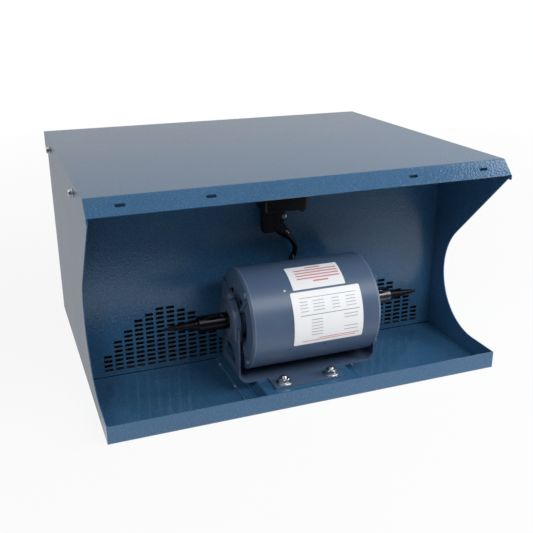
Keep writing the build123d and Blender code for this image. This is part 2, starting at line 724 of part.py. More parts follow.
def motor_shell():
    left = LEFT_RIM + LEFT_SKIRT
    length = SHELL_RIGHT - left
    section = [(0, SHELL_INSIDE), (0, SHELL_RADIUS), (length, SHELL_RADIUS), (length, SHELL_INSIDE)]
    shell = on_shaft(turned(section), left, 1)
    hole = motor_gland_point(SHELL_RADIUS)
    return shell - drill(hole, MOTOR_GLAND_AXIS, GLAND_NECK + FIT, 2 * SHELL_WALL)


def stator_core():
    outer = SHELL_INSIDE - FIT
    core = turned([(0, STATOR_BORE), (0, outer), (STATOR_LENGTH, outer), (STATOR_LENGTH, STATOR_BORE)])
    for angle in THROUGH_BOLT_ANGLES:
        hole = (0, *on_circle(THROUGH_BOLT_CIRCLE, angle))
        core -= drill(hole, ALONG_X, THROUGH_BOLT_RADIUS + FIT, 2 * STATOR_LENGTH)
    return on_shaft(core, STATOR_LEFT, 1)


def stator_windings():
    section = [
        (0, WINDING_INNER),
        (0, WINDING_OUTER),
        (WINDING_LENGTH, WINDING_OUTER),
        (WINDING_LENGTH, WINDING_INNER),
    ]
    return [on_shaft(turned(section), STATOR_LEFT, -1), on_shaft(turned(section), STATOR_RIGHT, 1)]


def rotor_core():
    bore = SHAFT_RADIUS + FIT
    end = STATOR_LENGTH + END_RING_LENGTH
    core = turned(
        [
            (0, bore),
            (0, END_RING_INNER),
            (-END_RING_LENGTH, END_RING_INNER),
            (-END_RING_LENGTH, END_RING_OUTER),
            (0, END_RING_OUTER),
            (0, ROTOR_RADIUS),
            (STATOR_LENGTH, ROTOR_RADIUS),
            (STATOR_LENGTH, END_RING_OUTER),
            (end, END_RING_OUTER),
            (end, END_RING_INNER),
            (STATOR_LENGTH, END_RING_INNER),
            (STATOR_LENGTH, bore),
        ]
    )
    return on_shaft(core, STATOR_LEFT, 1)


def bush():
    bore = SHAFT_RADIUS + RUNNING_FIT
    return turned(
        [
            (-BELL_HUB_IN, bore),
            (-BELL_HUB_IN, BUSH_RADIUS),
            (BELL_HUB_OUT, BUSH_RADIUS),
            (BELL_HUB_OUT, bore),
        ]
    )


def motor_shaft():
    left = LEFT_HUB_X - HUB_BORE_DEPTH + FIT
    right = RIGHT_HUB_X + HUB_BORE_DEPTH - FIT
    return rod((left, SHAFT_Y, SHAFT_Z), ALONG_X, SHAFT_RADIUS, right - left)


def cooling_fan():
    bore = SHAFT_RADIUS + FIT
    origin = (0, 0, 0)
    fan = rod(origin, ALONG_X, bore + FAN_HUB_WALL, FAN_WIDTH)
    fan += rod(origin, ALONG_X, FAN_RADIUS, FAN_PLATE)
    half = FAN_PLATE / 2
    root = FAN_RADIUS - FAN_BLADE_LENGTH
    blade = block(FAN_PLATE, FAN_WIDTH, -half, half, root, FAN_RADIUS - half)
    for index in range(FAN_BLADES):
        fan += Rot(index * 360 / FAN_BLADES, 0, 0) * blade
    fan -= drill(origin, ALONG_X, bore, 2 * FAN_WIDTH)
    return on_shaft(fan, STATOR_RIGHT + WINDING_LENGTH + FAN_GAP, 1)


def spindle(hub_length):
    bore = SHAFT_RADIUS + FIT
    end = hub_length + TAPER_LENGTH
    body = turned(
        [
            (0, bore),
            (0, HUB_RADIUS - HUB_EDGE),
            (HUB_EDGE, HUB_RADIUS),
            (hub_length - HUB_EDGE, HUB_RADIUS),
            (hub_length, HUB_RADIUS - HUB_EDGE),
            (hub_length, TAPER_RADIUS),
            (end, TIP_RADIUS),
            (end, 0),
            (HUB_BORE_DEPTH, 0),
            (HUB_BORE_DEPTH, bore),
        ]
    )
    hole = (SET_SCREW_INSET, 0, 0)
    return body - rod(hole, SET_SCREW_AXIS, SET_SCREW_RADIUS + FIT, 2 * HUB_RADIUS)


def set_screws():
    inner = SHAFT_RADIUS + FIT
    axis = Vector(*SET_SCREW_AXIS)
    start = Vector(SET_SCREW_INSET, 0, 0) + axis * inner
    screw = rod(start, axis, SET_SCREW_RADIUS, HUB_RADIUS - inner - HUB_EDGE)
    socket = Vector(SET_SCREW_INSET, 0, 0) + axis * (HUB_RADIUS - 2 * HUB_EDGE)
    screw -= hexagon(socket, axis, SET_SCREW_RADIUS, 2 * HUB_EDGE)
    return [on_shaft(screw, LEFT_HUB_X, -1), on_shaft(screw, RIGHT_HUB_X, 1)]


def curved_plate(right_margin, width, angles):
    """A thin plate bent round the front of the motor shell, between two angles above level."""
    middle = SHELL_RIGHT - right_margin - width / 2
    height = SHELL_RADIUS + RUNNING_FIT + PLATE_SHEET / 2
    face = Pos(middle, height) * Rectangle(width, PLATE_SHEET)
    arc = revolve(face, Axis.X, angles[1] - angles[0])
    return Pos(0, SHAFT_Y, SHAFT_Z) * Rot(180 - angles[1], 0, 0) * arc


def mount_bolt(x, y):
    seat = (x, y, RAIL_HEIGHT - RAIL_SHEET)
    length = RAIL_SHEET + CRADLE_SHEET + MOUNT_NUT_HEIGHT + MOUNT_BOLT_STUB
    head = hexagon(seat, (0, 0, -1), MOUNT_NUT_FLATS, MOUNT_BOLT_HEAD)
    return head + rod(seat, ALONG_Z, MOUNT_BOLT_RADIUS, length)


def mount_nut(x, y):
    seat = (x, y, RAIL_HEIGHT + CRADLE_SHEET)
    nut = rod(seat, ALONG_Z, MOUNT_NUT_COLLAR, MOUNT_NUT_COLLAR_HEIGHT)
    nut += hexagon(seat, ALONG_Z, MOUNT_NUT_FLATS, MOUNT_NUT_HEIGHT)
    return nut - rod(seat, ALONG_Z, MOUNT_BOLT_RADIUS + FIT, MOUNT_NUT_HEIGHT)


def switch_box():
    box = block(SWITCH_LEFT, SWITCH_RIGHT, SWITCH_FRONT, WALL_Y, SWITCH_FLOOR, TOP_INSIDE)
    upright = box.edges().filter_by(Axis.Z).group_by(Axis.Y)[0]
    box = fillet(upright, SWITCH_CORNER)
    front_foot = box.faces().sort_by(Axis.Z)[0].edges().sort_by(Axis.Y)[0]
    box = fillet(front_foot, SWITCH_CORNER / 2)
    inside = SWITCH_FRONT + SWITCH_WALL
    box -= block(
        SWITCH_LEFT + SWITCH_WALL,
        SWITCH_RIGHT - SWITCH_WALL,
        inside,
        WALL_Y,
        SWITCH_FLOOR + SWITCH_WALL,
        TOP_INSIDE - SWITCH_WALL,
    )
    boss_z = SWITCH_FLOOR - SWITCH_BOSS_DROP + SWITCH_BOSS_RADIUS
    boss = (SWITCH_RIGHT - SWITCH_BOSS_INSET, inside, boss_z)
    box += rod(boss, ALONG_Y, SWITCH_BOSS_RADIUS, SWITCH_BOSS_LENGTH)
    x, y, z = ROCKER_PIVOT
    half = ROCKER_WIDTH / 2 + ROCKER_CLEARANCE
    reach = ROCKER_SWEEP + ROCKER_CLEARANCE
    box -= block(x - half, x + half, SWITCH_FRONT, inside, z - reach, z + reach)
    for side in (-1, 1):
        outer = x + side * (half + CHEEK)
        box += block(x + side * half, outer, inside, y + 2 * TRUNNION_RADIUS, z - reach, z + reach)
    return box - drill(ROCKER_PIVOT, ALONG_X, TRUNNION_RADIUS + RUNNING_FIT, half + CHEEK)


def switch_rocker():
    half = ROCKER_HEIGHT / 2
    dip = half * sin(radians(ROCKER_TILT))
    face = outlined(
        [
            (0, -half),
            (-ROCKER_THICKNESS, -half),
            (-ROCKER_THICKNESS + dip, 0),
            (-ROCKER_THICKNESS, half),
            (0, half),
            (2 * TRUNNION_RADIUS, 0),
        ]
    )
    rocker = along_x(face, -ROCKER_WIDTH / 2, ROCKER_WIDTH / 2)
    rocker += drill((0, 0, 0), ALONG_X, TRUNNION_RADIUS, ROCKER_WIDTH / 2 + TRUNNION_LENGTH)
    return Pos(*ROCKER_PIVOT) * Rot(-ROCKER_TILT, 0, 0) * rocker


def switch_gland_point(distance):
    x = JUNCTION_RIGHT - JUNCTION_CUT / 2
    z = JUNCTION_FLOOR + JUNCTION_CUT / 2
    return Vector(x, JUNCTION_FRONT + JUNCTION_DEPTH / 2, z) + Vector(*SWITCH_GLAND_AXIS) * distance


def switch_junction():
    """A small box under the switch, with a pillar beside it that takes a long screw to the wall."""
    face = outlined(
        [
            (JUNCTION_LEFT, SWITCH_FLOOR),
            (JUNCTION_LEFT, JUNCTION_FLOOR),
            (JUNCTION_RIGHT - JUNCTION_CUT, JUNCTION_FLOOR),
            (JUNCTION_RIGHT, JUNCTION_FLOOR + JUNCTION_CUT),
            (JUNCTION_RIGHT, SWITCH_FLOOR),
        ]
    )
    body = along_y(face, JUNCTION_FRONT, JUNCTION_FRONT + JUNCTION_DEPTH)
    body += rod((PILLAR_X, WALL_Y, PILLAR_Z), (0, -1, 0), PILLAR_RADIUS, PILLAR_LENGTH)
    body -= drill((PILLAR_X, WALL_Y, PILLAR_Z), ALONG_Y, SCREW_HOLE, JUNCTION_REACH)
    body -= drill((PILLAR_X, JUNCTION_FRONT, PILLAR_Z), ALONG_Y, PILLAR_RADIUS, PILLAR_SETBACK)
    return body - drill(switch_gland_point(0), SWITCH_GLAND_AXIS, CABLE_BORE, GLAND_HEX)


def gland(seat, axis, hex_length, nose_length, neck_length):
    """A cable gland: a neck behind its seat, a hexagon on it and a round nose."""
    origin = Vector(*seat)
    along = Vector(*axis)
    body = hexagon(origin, axis, GLAND_FLATS, hex_length)
    body += rod(origin + along * hex_length, axis, GLAND_NOSE_RADIUS, nose_length)
    if neck_length > 0:
        body += rod(origin - along * neck_length, axis, GLAND_NECK, neck_length)
    return body - drill(origin, axis, CABLE_BORE, hex_length + nose_length + neck_length)


def motor_cable():
    """The lead from the switch to the motor: straight runs joined by arcs as large as they allow."""
    nose = SHELL_RADIUS + MOTOR_GLAND_HEX + MOTOR_GLAND_NOSE
    points = [
        switch_gland_point(1.0),
        switch_gland_point(36.0),
        Vector(35.5, WALL_Y - 16.5, 182.0),
        Vector(36.0, WALL_Y - 9.0, 170.0),
        motor_gland_point(nose + 6.0),
        motor_gland_point(SHELL_RADIUS),
    ]
    radii = []
    for before, corner, after in zip(points, points[1:], points[2:]):
        first = corner - before
        second = after - corner
        half_turn = radians(first.get_angle(second) / 2)
        radii.append(0.45 * min(first.length, second.length) / tan(half_turn))
    path = FilletPolyline(*points, radius=radii)
    section = Plane(origin=points[0], z_dir=points[1] - points[0]) * Circle(CABLE_RADIUS)
    cable = sweep(section, path=path)
    print("cable arc radii", [round(value, 1) for value in radii])
    print("cable volume over section times length", cable.volume / (section.area * path.length))
    return cable


def dust_filter(side):
    outer = FILTER_HALF - FILTER_CLEARANCE
    back = FILTER_FRONT + FILTER_THICKNESS
    roof = FILTER_FLOOR + FILTER_HEIGHT
    return block(side * FILTER_INNER_X, side * outer, FILTER_FRONT, back, FILTER_FLOOR, roof)


def filter_rail(web_z, opens):
    """A channel behind the vented wall; it opens up (1) under the filters or down (-1) over them."""
    front = WALL_Y + SHEET
    back = FILTER_FRONT + FILTER_THICKNESS + FILTER_CLEARANCE + FILTER_RAIL_SHEET
    wall_end = web_z + opens * FILTER_RAIL_DEPTH
    rail = block(-FILTER_HALF, FILTER_HALF, front, back, web_z, web_z - opens * FILTER_RAIL_SHEET)
    for y0, y1 in ((front, front + FILTER_RAIL_SHEET), (back - FILTER_RAIL_SHEET, back)):
        rail += block(-FILTER_HALF, FILTER_HALF, y0, y1, web_z, wall_end)
    return rail


def exhaust_frame():
    front = (0, BODY_BACK - EXHAUST_DEPTH, EXHAUST_Z)
    back = (0, BODY_BACK, EXHAUST_Z)
    frame = rod(back, (0, -1, 0), EXHAUST_RING + EXHAUST_FLANGE, EXHAUST_FLANGE_SHEET)
    frame += rod(front, ALONG_Y, EXHAUST_RING + EXHAUST_RING_WALL, EXHAUST_DEPTH)
    frame -= rod(front, ALONG_Y, EXHAUST_RING, EXHAUST_DEPTH)
    half = EXHAUST_STRUT / 2
    reach = EXHAUST_RING + EXHAUST_RING_WALL / 2
    bar = block(-half, half, 0, half, -reach, reach)
    for angle in (45, 135):
        frame += Pos(*front) * Rot(0, angle, 0) * bar
    frame += rod(front, ALONG_Y, EXHAUST_CAN_RADIUS, EXHAUST_DEPTH - EXHAUST_CAN_END)
    frame -= rod(front, ALONG_Y, EXHAUST_SHAFT_RADIUS + RUNNING_FIT, EXHAUST_DEPTH)
    for x, z in exhaust_screw_places():
        frame -= drill((x, BODY_BACK, z), ALONG_Y, SCREW_HOLE, 2 * EXHAUST_FLANGE_SHEET)
    return frame


def exhaust_rotor():
    """A cup that turns round the fan's motor can, with pitched blades and a shaft in the can's bore."""
    mouth = BODY_BACK - EXHAUST_DEPTH + EXHAUST_STRUT
    floor = BODY_BACK - EXHAUST_CAN_END + EXHAUST_CUP_GAP
    length = BODY_BACK - EXHAUST_CUP_GAP - mouth
    start = (0, mouth, EXHAUST_Z)
    rotor = rod(start, ALONG_Y, EXHAUST_CUP_RADIUS, length)
    rotor -= rod(start, ALONG_Y, EXHAUST_CUP_RADIUS - EXHAUST_CUP_WALL, floor - mouth)
    rotor += rod(start, ALONG_Y, EXHAUST_SHAFT_RADIUS, length)
    half_chord = EXHAUST_BLADE_CHORD / 2
    half_sheet = EXHAUST_BLADE_SHEET / 2
    root = EXHAUST_CUP_RADIUS - EXHAUST_CUP_WALL / 2
    plate = block(-half_chord, half_chord, -half_sheet, half_sheet, root, EXHAUST_BLADE_RADIUS)
    tip = drill((0, 0, 0), ALONG_Y, EXHAUST_BLADE_RADIUS, EXHAUST_DEPTH)
    blade = (Rot(0, 0, EXHAUST_BLADE_PITCH) * plate) & tip
    for index in range(EXHAUST_BLADES):
        turn = Rot(0, index * 360 / EXHAUST_BLADES, 0)
        rotor += Pos(0, mouth + length / 2, EXHAUST_Z) * turn * blade
    return rotor


def exhaust_guard():
    face = Circle(EXHAUST_RING + EXHAUST_FLANGE) - Circle(EXHAUST_RING)
    for index in range(1, GUARD_RINGS):
        radius = index * EXHAUST_RING / GUARD_RINGS
        face += Circle(radius) - Circle(radius - GUARD_RING_WIDTH)
    for angle in (0, 90):
        face += Rot(0, 0, angle) * Rectangle(2 * EXHAUST_RING + GUARD_RING_WIDTH, GUARD_RING_WIDTH)
    seat = BODY_BACK + SHEET
    guard = Pos(0, 0, EXHAUST_Z) * along_y(face, seat, seat + GUARD_SHEET)
    for x, z in exhaust_screw_places():
        guard -= drill((x, seat, z), ALONG_Y, SCREW_HOLE, 2 * GUARD_SHEET)
    return guard


def cover_screws():
    seat = HALF_WIDTH + COVER_GAP + SHEET
    places = [(side, y) for side in (-1, 1) for y in COVER_SCREW_YS]
    return [collar_screw((side * seat, y, COVER_SCREW_Z), (-side, 0, 0)) for side, y in places]


def rear_screws(places, seat):
    return [pan_screw((x, seat, z), (0, -1, 0)) for x, z in places]


rear_face = BODY_BACK + SHEET
mains_gland_seat = (MAINS_GLAND_X, rear_face, MAINS_GLAND_Z)
motor_neck = SHELL_WALL - FIT
pillar_end = (PILLAR_X, WALL_Y - PILLAR_LENGTH, PILLAR_Z)
rating_plate = curved_plate(RATING_PLATE_MARGIN, RATING_PLATE_WIDTH, RATING_PLATE_ANGLES)
notice_plate = curved_plate(NOTICE_PLATE_MARGIN, NOTICE_PLATE_WIDTH, NOTICE_PLATE_ANGLES)
motor_seat = motor_gland_point(SHELL_RADIUS)

nodes = {
    "base_pan": base_pan(),
    "left_side_panel": side_panel(-1),
    "right_side_panel": side_panel(1),
    "vent_wall": vent_wall(),
    "rear_panel": rear_panel(),
    "top_cover": top_cover(),
    "motor_rail": motor_rail(),
    "motor_cradle": motor_cradle(),
    "left_resilient_ring": on_shaft(resilient_ring(), LEFT_RIM, -1),
    "right_resilient_ring": on_shaft(resilient_ring(), RIGHT_RIM, 1),
    "left_ring_strap": on_shaft(ring_strap(), LEFT_RIM, -1),
    "right_ring_strap": on_shaft(ring_strap(), RIGHT_RIM, 1),
    "strap_screws": strap_screws(),
    "motor_shell": motor_shell(),
    "left_end_bell": on_shaft(end_bell(LEFT_SKIRT), LEFT_RIM, -1),
    "right_end_bell": on_shaft(end_bell(RIGHT_SKIRT), RIGHT_RIM, 1),
    "through_bolts": through_bolts(),
    "stator_core": stator_core(),
    "stator_windings": stator_windings(),
    "left_bush": on_shaft(bush(), LEFT_RIM, -1),
    "right_bush": on_shaft(bush(), RIGHT_RIM, 1),
    "rotor_core": rotor_core(),
    "motor_shaft": motor_shaft(),
    "cooling_fan": cooling_fan(),
    "left_spindle": on_shaft(spindle(LEFT_HUB_LENGTH), LEFT_HUB_X, -1),
    "right_spindle": on_shaft(spindle(RIGHT_HUB_LENGTH), RIGHT_HUB_X, 1),
    "spindle_set_screws": set_screws(),
    "rating_plate": rating_plate,
    "notice_plate": notice_plate,
    "switch_box": switch_box(),
    "switch_rocker": switch_rocker(),
    "switch_junction": switch_junction(),
    "switch_screw": pan_screw(pillar_end, ALONG_Y, PILLAR_LENGTH + 2 * SHEET),
    "switch_gland": gland(switch_gland_point(0), SWITCH_GLAND_AXIS, SWITCH_GLAND_HEX, SWITCH_GLAND_NOSE, 0),
    "motor_gland": gland(motor_seat, MOTOR_GLAND_AXIS, MOTOR_GLAND_HEX, MOTOR_GLAND_NOSE, motor_neck),
    "motor_cable": motor_cable(),
    "mains_gland": gland(mains_gland_seat, ALONG_Y, GLAND_HEX, GLAND_NOSE, GLAND_HEX),
    "left_dust_filter": dust_filter(-1),
    "right_dust_filter": dust_filter(1),
    "lower_filter_rail": filter_rail(FILTER_FLOOR, 1),
    "upper_filter_rail": filter_rail(FILTER_ROOF, -1),
    "exhaust_frame": exhaust_frame(),
    "exhaust_rotor": exhaust_rotor(),
    "exhaust_guard": exhaust_guard(),
    "exhaust_screws": rear_screws(exhaust_screw_places(), rear_face + GUARD_SHEET),
    "rear_panel_screws": rear_screws(rear_screw_places(), rear_face),
}
for index, screw in enumerate(cover_screws(), start=1):
    nodes[f"cover_screw_{index}"] = screw
for index, place in enumerate(mount_places(), start=1):
    nodes[f"mount_bolt_{index}"] = mount_bolt(*place)
    nodes[f"mount_nut_{index}"] = mount_nut(*place)

os.makedirs("parts", exist_ok=True)
for name, shape in nodes.items():
    solids = shape if isinstance(shape, list) else [shape]
    export_step(Compound(children=solids), f"parts/{name}.step")
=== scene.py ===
# %% [markdown]
# # A double spindle polishing machine
# The machine is a folded steel cabinet with an open front. A motor lies across its floor in a
# sprung cradle and turns a threaded taper at each end, where buffing wheels screw on.
# The solid shapes of every piece come ready made, in metres, in one shared frame. This lesson
# dresses them: it looks through the same camera as the photograph, lights the scene, mixes each
# finish from nodes, and models the small forms that the plain solids leave out.

# %% Load the solids
import json
from math import cos, pi, radians, sin, tau

import bmesh
import bpy
from mathutils import Matrix, Vector


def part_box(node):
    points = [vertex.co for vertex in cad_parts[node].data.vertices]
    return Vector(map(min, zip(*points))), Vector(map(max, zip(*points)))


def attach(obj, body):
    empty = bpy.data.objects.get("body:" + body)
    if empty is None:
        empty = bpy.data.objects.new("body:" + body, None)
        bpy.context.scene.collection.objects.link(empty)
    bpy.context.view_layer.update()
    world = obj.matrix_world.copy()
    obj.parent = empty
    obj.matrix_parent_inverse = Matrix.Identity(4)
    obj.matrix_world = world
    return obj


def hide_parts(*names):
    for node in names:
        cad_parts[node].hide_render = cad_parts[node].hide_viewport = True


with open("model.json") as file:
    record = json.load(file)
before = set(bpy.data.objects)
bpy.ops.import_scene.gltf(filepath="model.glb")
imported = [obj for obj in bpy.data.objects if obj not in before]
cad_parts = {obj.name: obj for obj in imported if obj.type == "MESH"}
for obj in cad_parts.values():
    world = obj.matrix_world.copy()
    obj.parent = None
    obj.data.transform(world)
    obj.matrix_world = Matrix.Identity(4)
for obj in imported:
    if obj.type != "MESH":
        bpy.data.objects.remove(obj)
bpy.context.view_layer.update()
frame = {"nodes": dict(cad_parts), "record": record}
solids = frame["nodes"]
MM = 0.001
slot_of = {part["node"]: part["material_slot"] for part in frame["record"]["subparts"]}
bodies = frame["record"]["behaviour"]["bodies"]
body_of = {node: body for body, group in bodies.items() for node in group}
print("solids in the frame:", len(solids))

# %% [markdown]
# ## The camera
# A photograph fixes a camera completely once a few corners of a known box are found in it. Here
# the cabinet's corners gave the place, the direction and the lens. The direction is easier to
# write as a turn to the right, a dip below the horizon and a small roll than as three Euler
# angles, so the camera's axes are worked out from those and put straight into its matrix.

# %% Stand the camera where the photograph was taken
turn, dip, roll = radians(20.53), radians(20.24), radians(-0.296)
ahead = Vector((sin(turn) * cos(dip), cos(turn) * cos(dip), -sin(dip)))
level = ahead.cross(Vector((0, 0, 1))).normalized()
above = level.cross(ahead)
right = level * cos(roll) + above * sin(roll)
up = above * cos(roll) - level * sin(roll)
lens = bpy.data.cameras.new("photo_camera")
lens.lens = 50.75
lens.sensor_width = 36.0
camera = bpy.data.objects.new("photo_camera", lens)
axes = Matrix((right, up, -ahead)).transposed().to_4x4()
camera.matrix_world = Matrix.Translation((-0.4064, -1.1361, 0.5685)) @ axes
bpy.context.scene.collection.objects.link(camera)
bpy.context.scene.camera = camera
bpy.context.scene.view_settings.view_transform = "Standard"
print("camera looks along", [round(value, 3) for value in ahead])

# %% [markdown]
# ## Wires, trees and finishes
# Node graphs are long-winded in Python, so two small classes keep them readable. A wire wraps
# one output of a node, and Python's own signs on wires add the maths nodes. A tree has one
# method that makes any node, sets it up, and then fills or links its sockets. A finish is a tree
# that owns a material, with shorthands for the patterns that come back in every coat of paint.

# %% Wires and trees
class Wire:
    """One output of a node."""

    def __init__(self, tree, socket):
        self.tree = tree
        self.socket = socket

    def math(self, operation, other=0.0, swapped=False):
        first, second = (other, self) if swapped else (self, other)
        return self.tree.node("ShaderNodeMath", {"operation": operation}, {0: first, 1: second})

    def within(self, low, high):
        return self.math("MAXIMUM", low).math("MINIMUM", high)

    def between(self, low, high):
        """1 from the low value to the high one, and 0 elsewhere."""
        return (self > low) * (self < high)

    def near(self, value, reach):
        """1 where the wire is that close to the value, and 0 elsewhere."""
        return (self - value).math("ABSOLUTE") < reach

    def __add__(self, other):
        return self.math("ADD", other)

    def __sub__(self, other):
        return self.math("SUBTRACT", other)

    def __rsub__(self, other):
        return self.math("SUBTRACT", other, True)

    def __mul__(self, other):
        return self.math("MULTIPLY", other)

    def __truediv__(self, other):
        return self.math("DIVIDE", other)

    def __rtruediv__(self, other):
        return self.math("DIVIDE", other, True)

    def __lt__(self, other):
        return self.math("LESS_THAN", other)

    def __gt__(self, other):
        return self.math("GREATER_THAN", other)

    __radd__ = __add__
    __rmul__ = __mul__


class Tree:
    """A node graph with one method that makes nodes."""

    def __init__(self, graph):
        self.graph = graph

    def node(self, kind, settings=None, inputs=None, output=0):
        made = self.graph.nodes.new(kind)
        for name, value in (settings or {}).items():
            setattr(made, name, value)
        for key, value in (inputs or {}).items():
            if isinstance(value, Wire):
                self.graph.links.new(value.socket, made.inputs[key])
            else:
                made.inputs[key].default_value = value
        return Wire(self, made.outputs[output]) if made.outputs else None


def shade(red, green, blue):
    """A colour as a picture editor shows it, turned into the linear light that shaders use."""
    linear = []
    for value in (red, green, blue):
        linear.append(((value / 255 + 0.055) / 1.055) ** 2.4 if value > 10 else value / 3295)
    return (*linear, 1.0)


print("wires and trees ready")

# %% Finishes
class Finish(Tree):
    """A material whose fixed values sit on its shader and whose patterns are fed to it."""

    def __init__(self, name, fixed):
        self.material = bpy.data.materials.new(name)
        self.material.use_nodes = True
        super().__init__(self.material.node_tree)
        self.shader = self.graph.nodes["Principled BSDF"]
        self.feed(fixed)
        self.here = self.node("ShaderNodeTexCoord", output="Object")

    def feed(self, values):
        for name, value in values.items():
            if isinstance(value, Wire):
                self.graph.links.new(value.socket, self.shader.inputs[name])
            else:
                self.shader.inputs[name].default_value = value

    def axis(self, index):
        return self.node("ShaderNodeSeparateXYZ", {}, {0: self.here}, index)

    def noise(self, scale, detail=2.0, stretch=None):
        where = self.here
        if stretch:
            inputs = {0: where, 1: stretch}
            where = self.node("ShaderNodeVectorMath", {"operation": "MULTIPLY"}, inputs)
        inputs = {"Vector": where, "Scale": scale, "Detail": detail}
        return self.node("ShaderNodeTexNoise", {}, inputs)

    def cells(self, scale):
        inputs = {"Vector": self.here, "Scale": scale}
        return self.node("ShaderNodeTexVoronoi", {"feature": "SMOOTH_F1"}, inputs)

    def colours(self, share, first, second):
        inputs = {0: share, 6: first, 7: second}
        return self.node("ShaderNodeMix", {"data_type": "RGBA"}, inputs, 2)

    def spot(self, centre, radius):
        """1 at a point, falling to 0 at that distance from it."""
        inputs = {0: self.here, 1: centre}
        far = self.node("ShaderNodeVectorMath", {"operation": "DISTANCE"}, inputs, "Value")
        return (1.0 - far / radius).math("MAXIMUM", 0.0)

    def bump(self, height, strength, depth):
        inputs = {"Strength": strength, "Distance": depth, "Height": height}
        self.feed({"Normal": self.node("ShaderNodeBump", {}, inputs)})


finishes = {}
print("finishes ready to mix")

# %% [markdown]
# ## Paint
# The cabinet wears a glossy blue enamel with a fine dark speckle, barely two millimetres from one
# speck to the next. A picture could be laid over each face, but patterns in space run on round
# every fold. A smooth Voronoi pattern gives the specks and one noise gives the flake. Both tint
# the colour, because the dimples gather pigment. A coarser noise raises the pebbled skin that
# sprayers call orange peel. The gloss turns the flat sides grey at a shallow angle.

# %% Speckled enamel for the cabinet
SHAFT_Y, SHAFT_Z = -162 * MM, 108.9 * MM
SHELL_RADIUS = 76 * MM
WALL_Y, SHEET = -73 * MM, 1.5 * MM

enamel = Finish("speckled_enamel", {"IOR": 1.55, "Coat IOR": 1.7, "Coat Roughness": 0.08})
dimple = enamel.cells(560)
flake = enamel.noise(1500, 1.0)
peel = enamel.noise(340, 1.0)
cloud = enamel.noise(9, 2.0)
tint = (dimple + flake * 0.5 + cloud * 0.3 - 0.35).within(0.0, 1.0)
coat = enamel.colours(tint, shade(42, 83, 121), shade(69, 116, 154))
print("speckle nodes:", len(enamel.graph.nodes))

# %% [markdown]
# Some places are marked on the enamel. They could be painted by hand, but each has a simple
# place, so each is a mask made by comparing coordinates: painted shade blackens and dulls the space
# behind the vented wall, painted highlights brighten the punched edges of its slots, painted shade
# darkens the seam at its foot and painted highlights run along the rail's edge and fold. The floor
# pan, wiped every day, is the smoothest and keeps a clear coat, so it mirrors the slots.

# %% Painted shade, painted highlights and the wiped pan on the enamel
SIDE_LIMIT, CEILING, BACK_LIMIT = 304 * MM, 332 * MM, 240.8 * MM
PAN_TOP, RAIL_EDGE, RAIL_FOLD = 2.2 * MM, 97.6 * MM, 79.5 * MM

y, z = enamel.axis(1), enamel.axis(2)
aside = enamel.axis(0).math("ABSOLUTE")
indoors = (aside < SIDE_LIMIT) * z.between(1.0 * MM, CEILING)
# painted shade: the space behind the vented wall is made near black and dull
shade_behind_wall = indoors * y.between(WALL_Y + SHEET - 0.05 * MM, BACK_LIMIT)
punched = y.between(WALL_Y + 0.25 * MM, WALL_Y + SHEET - 0.1 * MM)
# painted highlight: the punched edges of the slots are made pale, as if catching the light
edge_highlight = indoors * punched * (aside < SIDE_LIMIT - 4 * MM)
# painted shade: the seam at the foot of the vented wall is made dark
seam_shade = indoors * y.between(WALL_Y - 1.0 * MM, WALL_Y + 0.1 * MM) * (z < SHEET + 1.2 * MM)
# painted highlight: pale lines along the rail's flange edge and its fold
rail_lines = aside.near(RAIL_EDGE, 0.8 * MM) + aside.near(RAIL_FOLD, 0.5 * MM)
rail_highlight = rail_lines * z.between(1.8 * MM, 5.0 * MM) * (y < WALL_Y - 4.0 * MM)
for mask, share, colour in (
    (shade_behind_wall, 0.97, shade(7, 8, 10)),
    (edge_highlight, 0.8, shade(116, 142, 168)),
    (seam_shade, 0.8, shade(16, 28, 44)),
    (rail_highlight, 0.5, shade(104, 138, 168)),
):
    coat = enamel.colours(mask * share, coat, colour)
pan = z < PAN_TOP
gloss = 0.2 + flake * 0.06 + cloud * 0.04 - indoors * (0.11 + pan * 0.04) + shade_behind_wall * 0.3
wiped = indoors * pan * (1.0 - shade_behind_wall)
enamel.feed({"Base Color": coat, "Roughness": gloss, "Coat Weight": wiped})
enamel.bump((peel + dimple * 0.2) * (0.5 + indoors * (0.5 - pan * 0.9)), 0.65, 0.6 * MM)
finishes["cabinet_paint"] = enamel.material
print("enamel nodes:", len(enamel.graph.nodes))

# %% [markdown]
# The motor has a duller satin coat with a faint ripple. On its shell are two small pits and a
# bright plug, only a few millimetres across, so distances from their centres are enough to draw
# them. The pits are darkened with painted shade, and a painted highlight lightens the shell's two
# rims where the end bells meet it.

# %% Satin enamel for the motor
SHELL_MIDDLE, SHELL_HALF, CRADLE_FOOT = 11.5 * MM, 97.5 * MM, 31 * MM

satin = Finish("motor_enamel", {"IOR": 1.45})
peel = satin.noise(420, 2.0)
smudge = satin.noise(22, 3.0)
marks = []
for x, angle in ((-33.6, 47), (-32.9, -22.4), (22.6, -22.7)):
    y = SHAFT_Y - SHELL_RADIUS * cos(radians(angle))
    z = SHAFT_Z + SHELL_RADIUS * sin(radians(angle))
    marks.append(satin.spot((x * MM, y, z), 2.2 * MM))
plug, shaded_pits = marks[0], marks[1] + marks[2]
from_middle = (satin.axis(0) - SHELL_MIDDLE).math("ABSOLUTE")
# painted highlight: pale bands on the shell's two rims
rim_highlight = from_middle.near(SHELL_HALF, 0.7 * MM) * (satin.axis(2) > CRADLE_FOOT) * 0.35
coat = satin.colours(smudge, shade(71, 90, 117), shade(85, 105, 133))
coat = satin.colours(rim_highlight, coat, shade(150, 166, 188))
# painted shade: the two pits are made near black
coat = satin.colours((shaded_pits * 1.6).math("MINIMUM", 0.85), coat, shade(22, 26, 34))
coat = satin.colours((plug * 2.0).math("MINIMUM", 1.0), coat, shade(205, 210, 218))
satin.feed({"Base Color": coat, "Roughness": 0.31 + smudge * 0.1})
satin.bump(peel * 0.4 - shaded_pits * 3.0, 0.18, 0.4 * MM)
finishes["motor_paint"] = satin.material
print("satin nodes:", len(satin.graph.nodes))
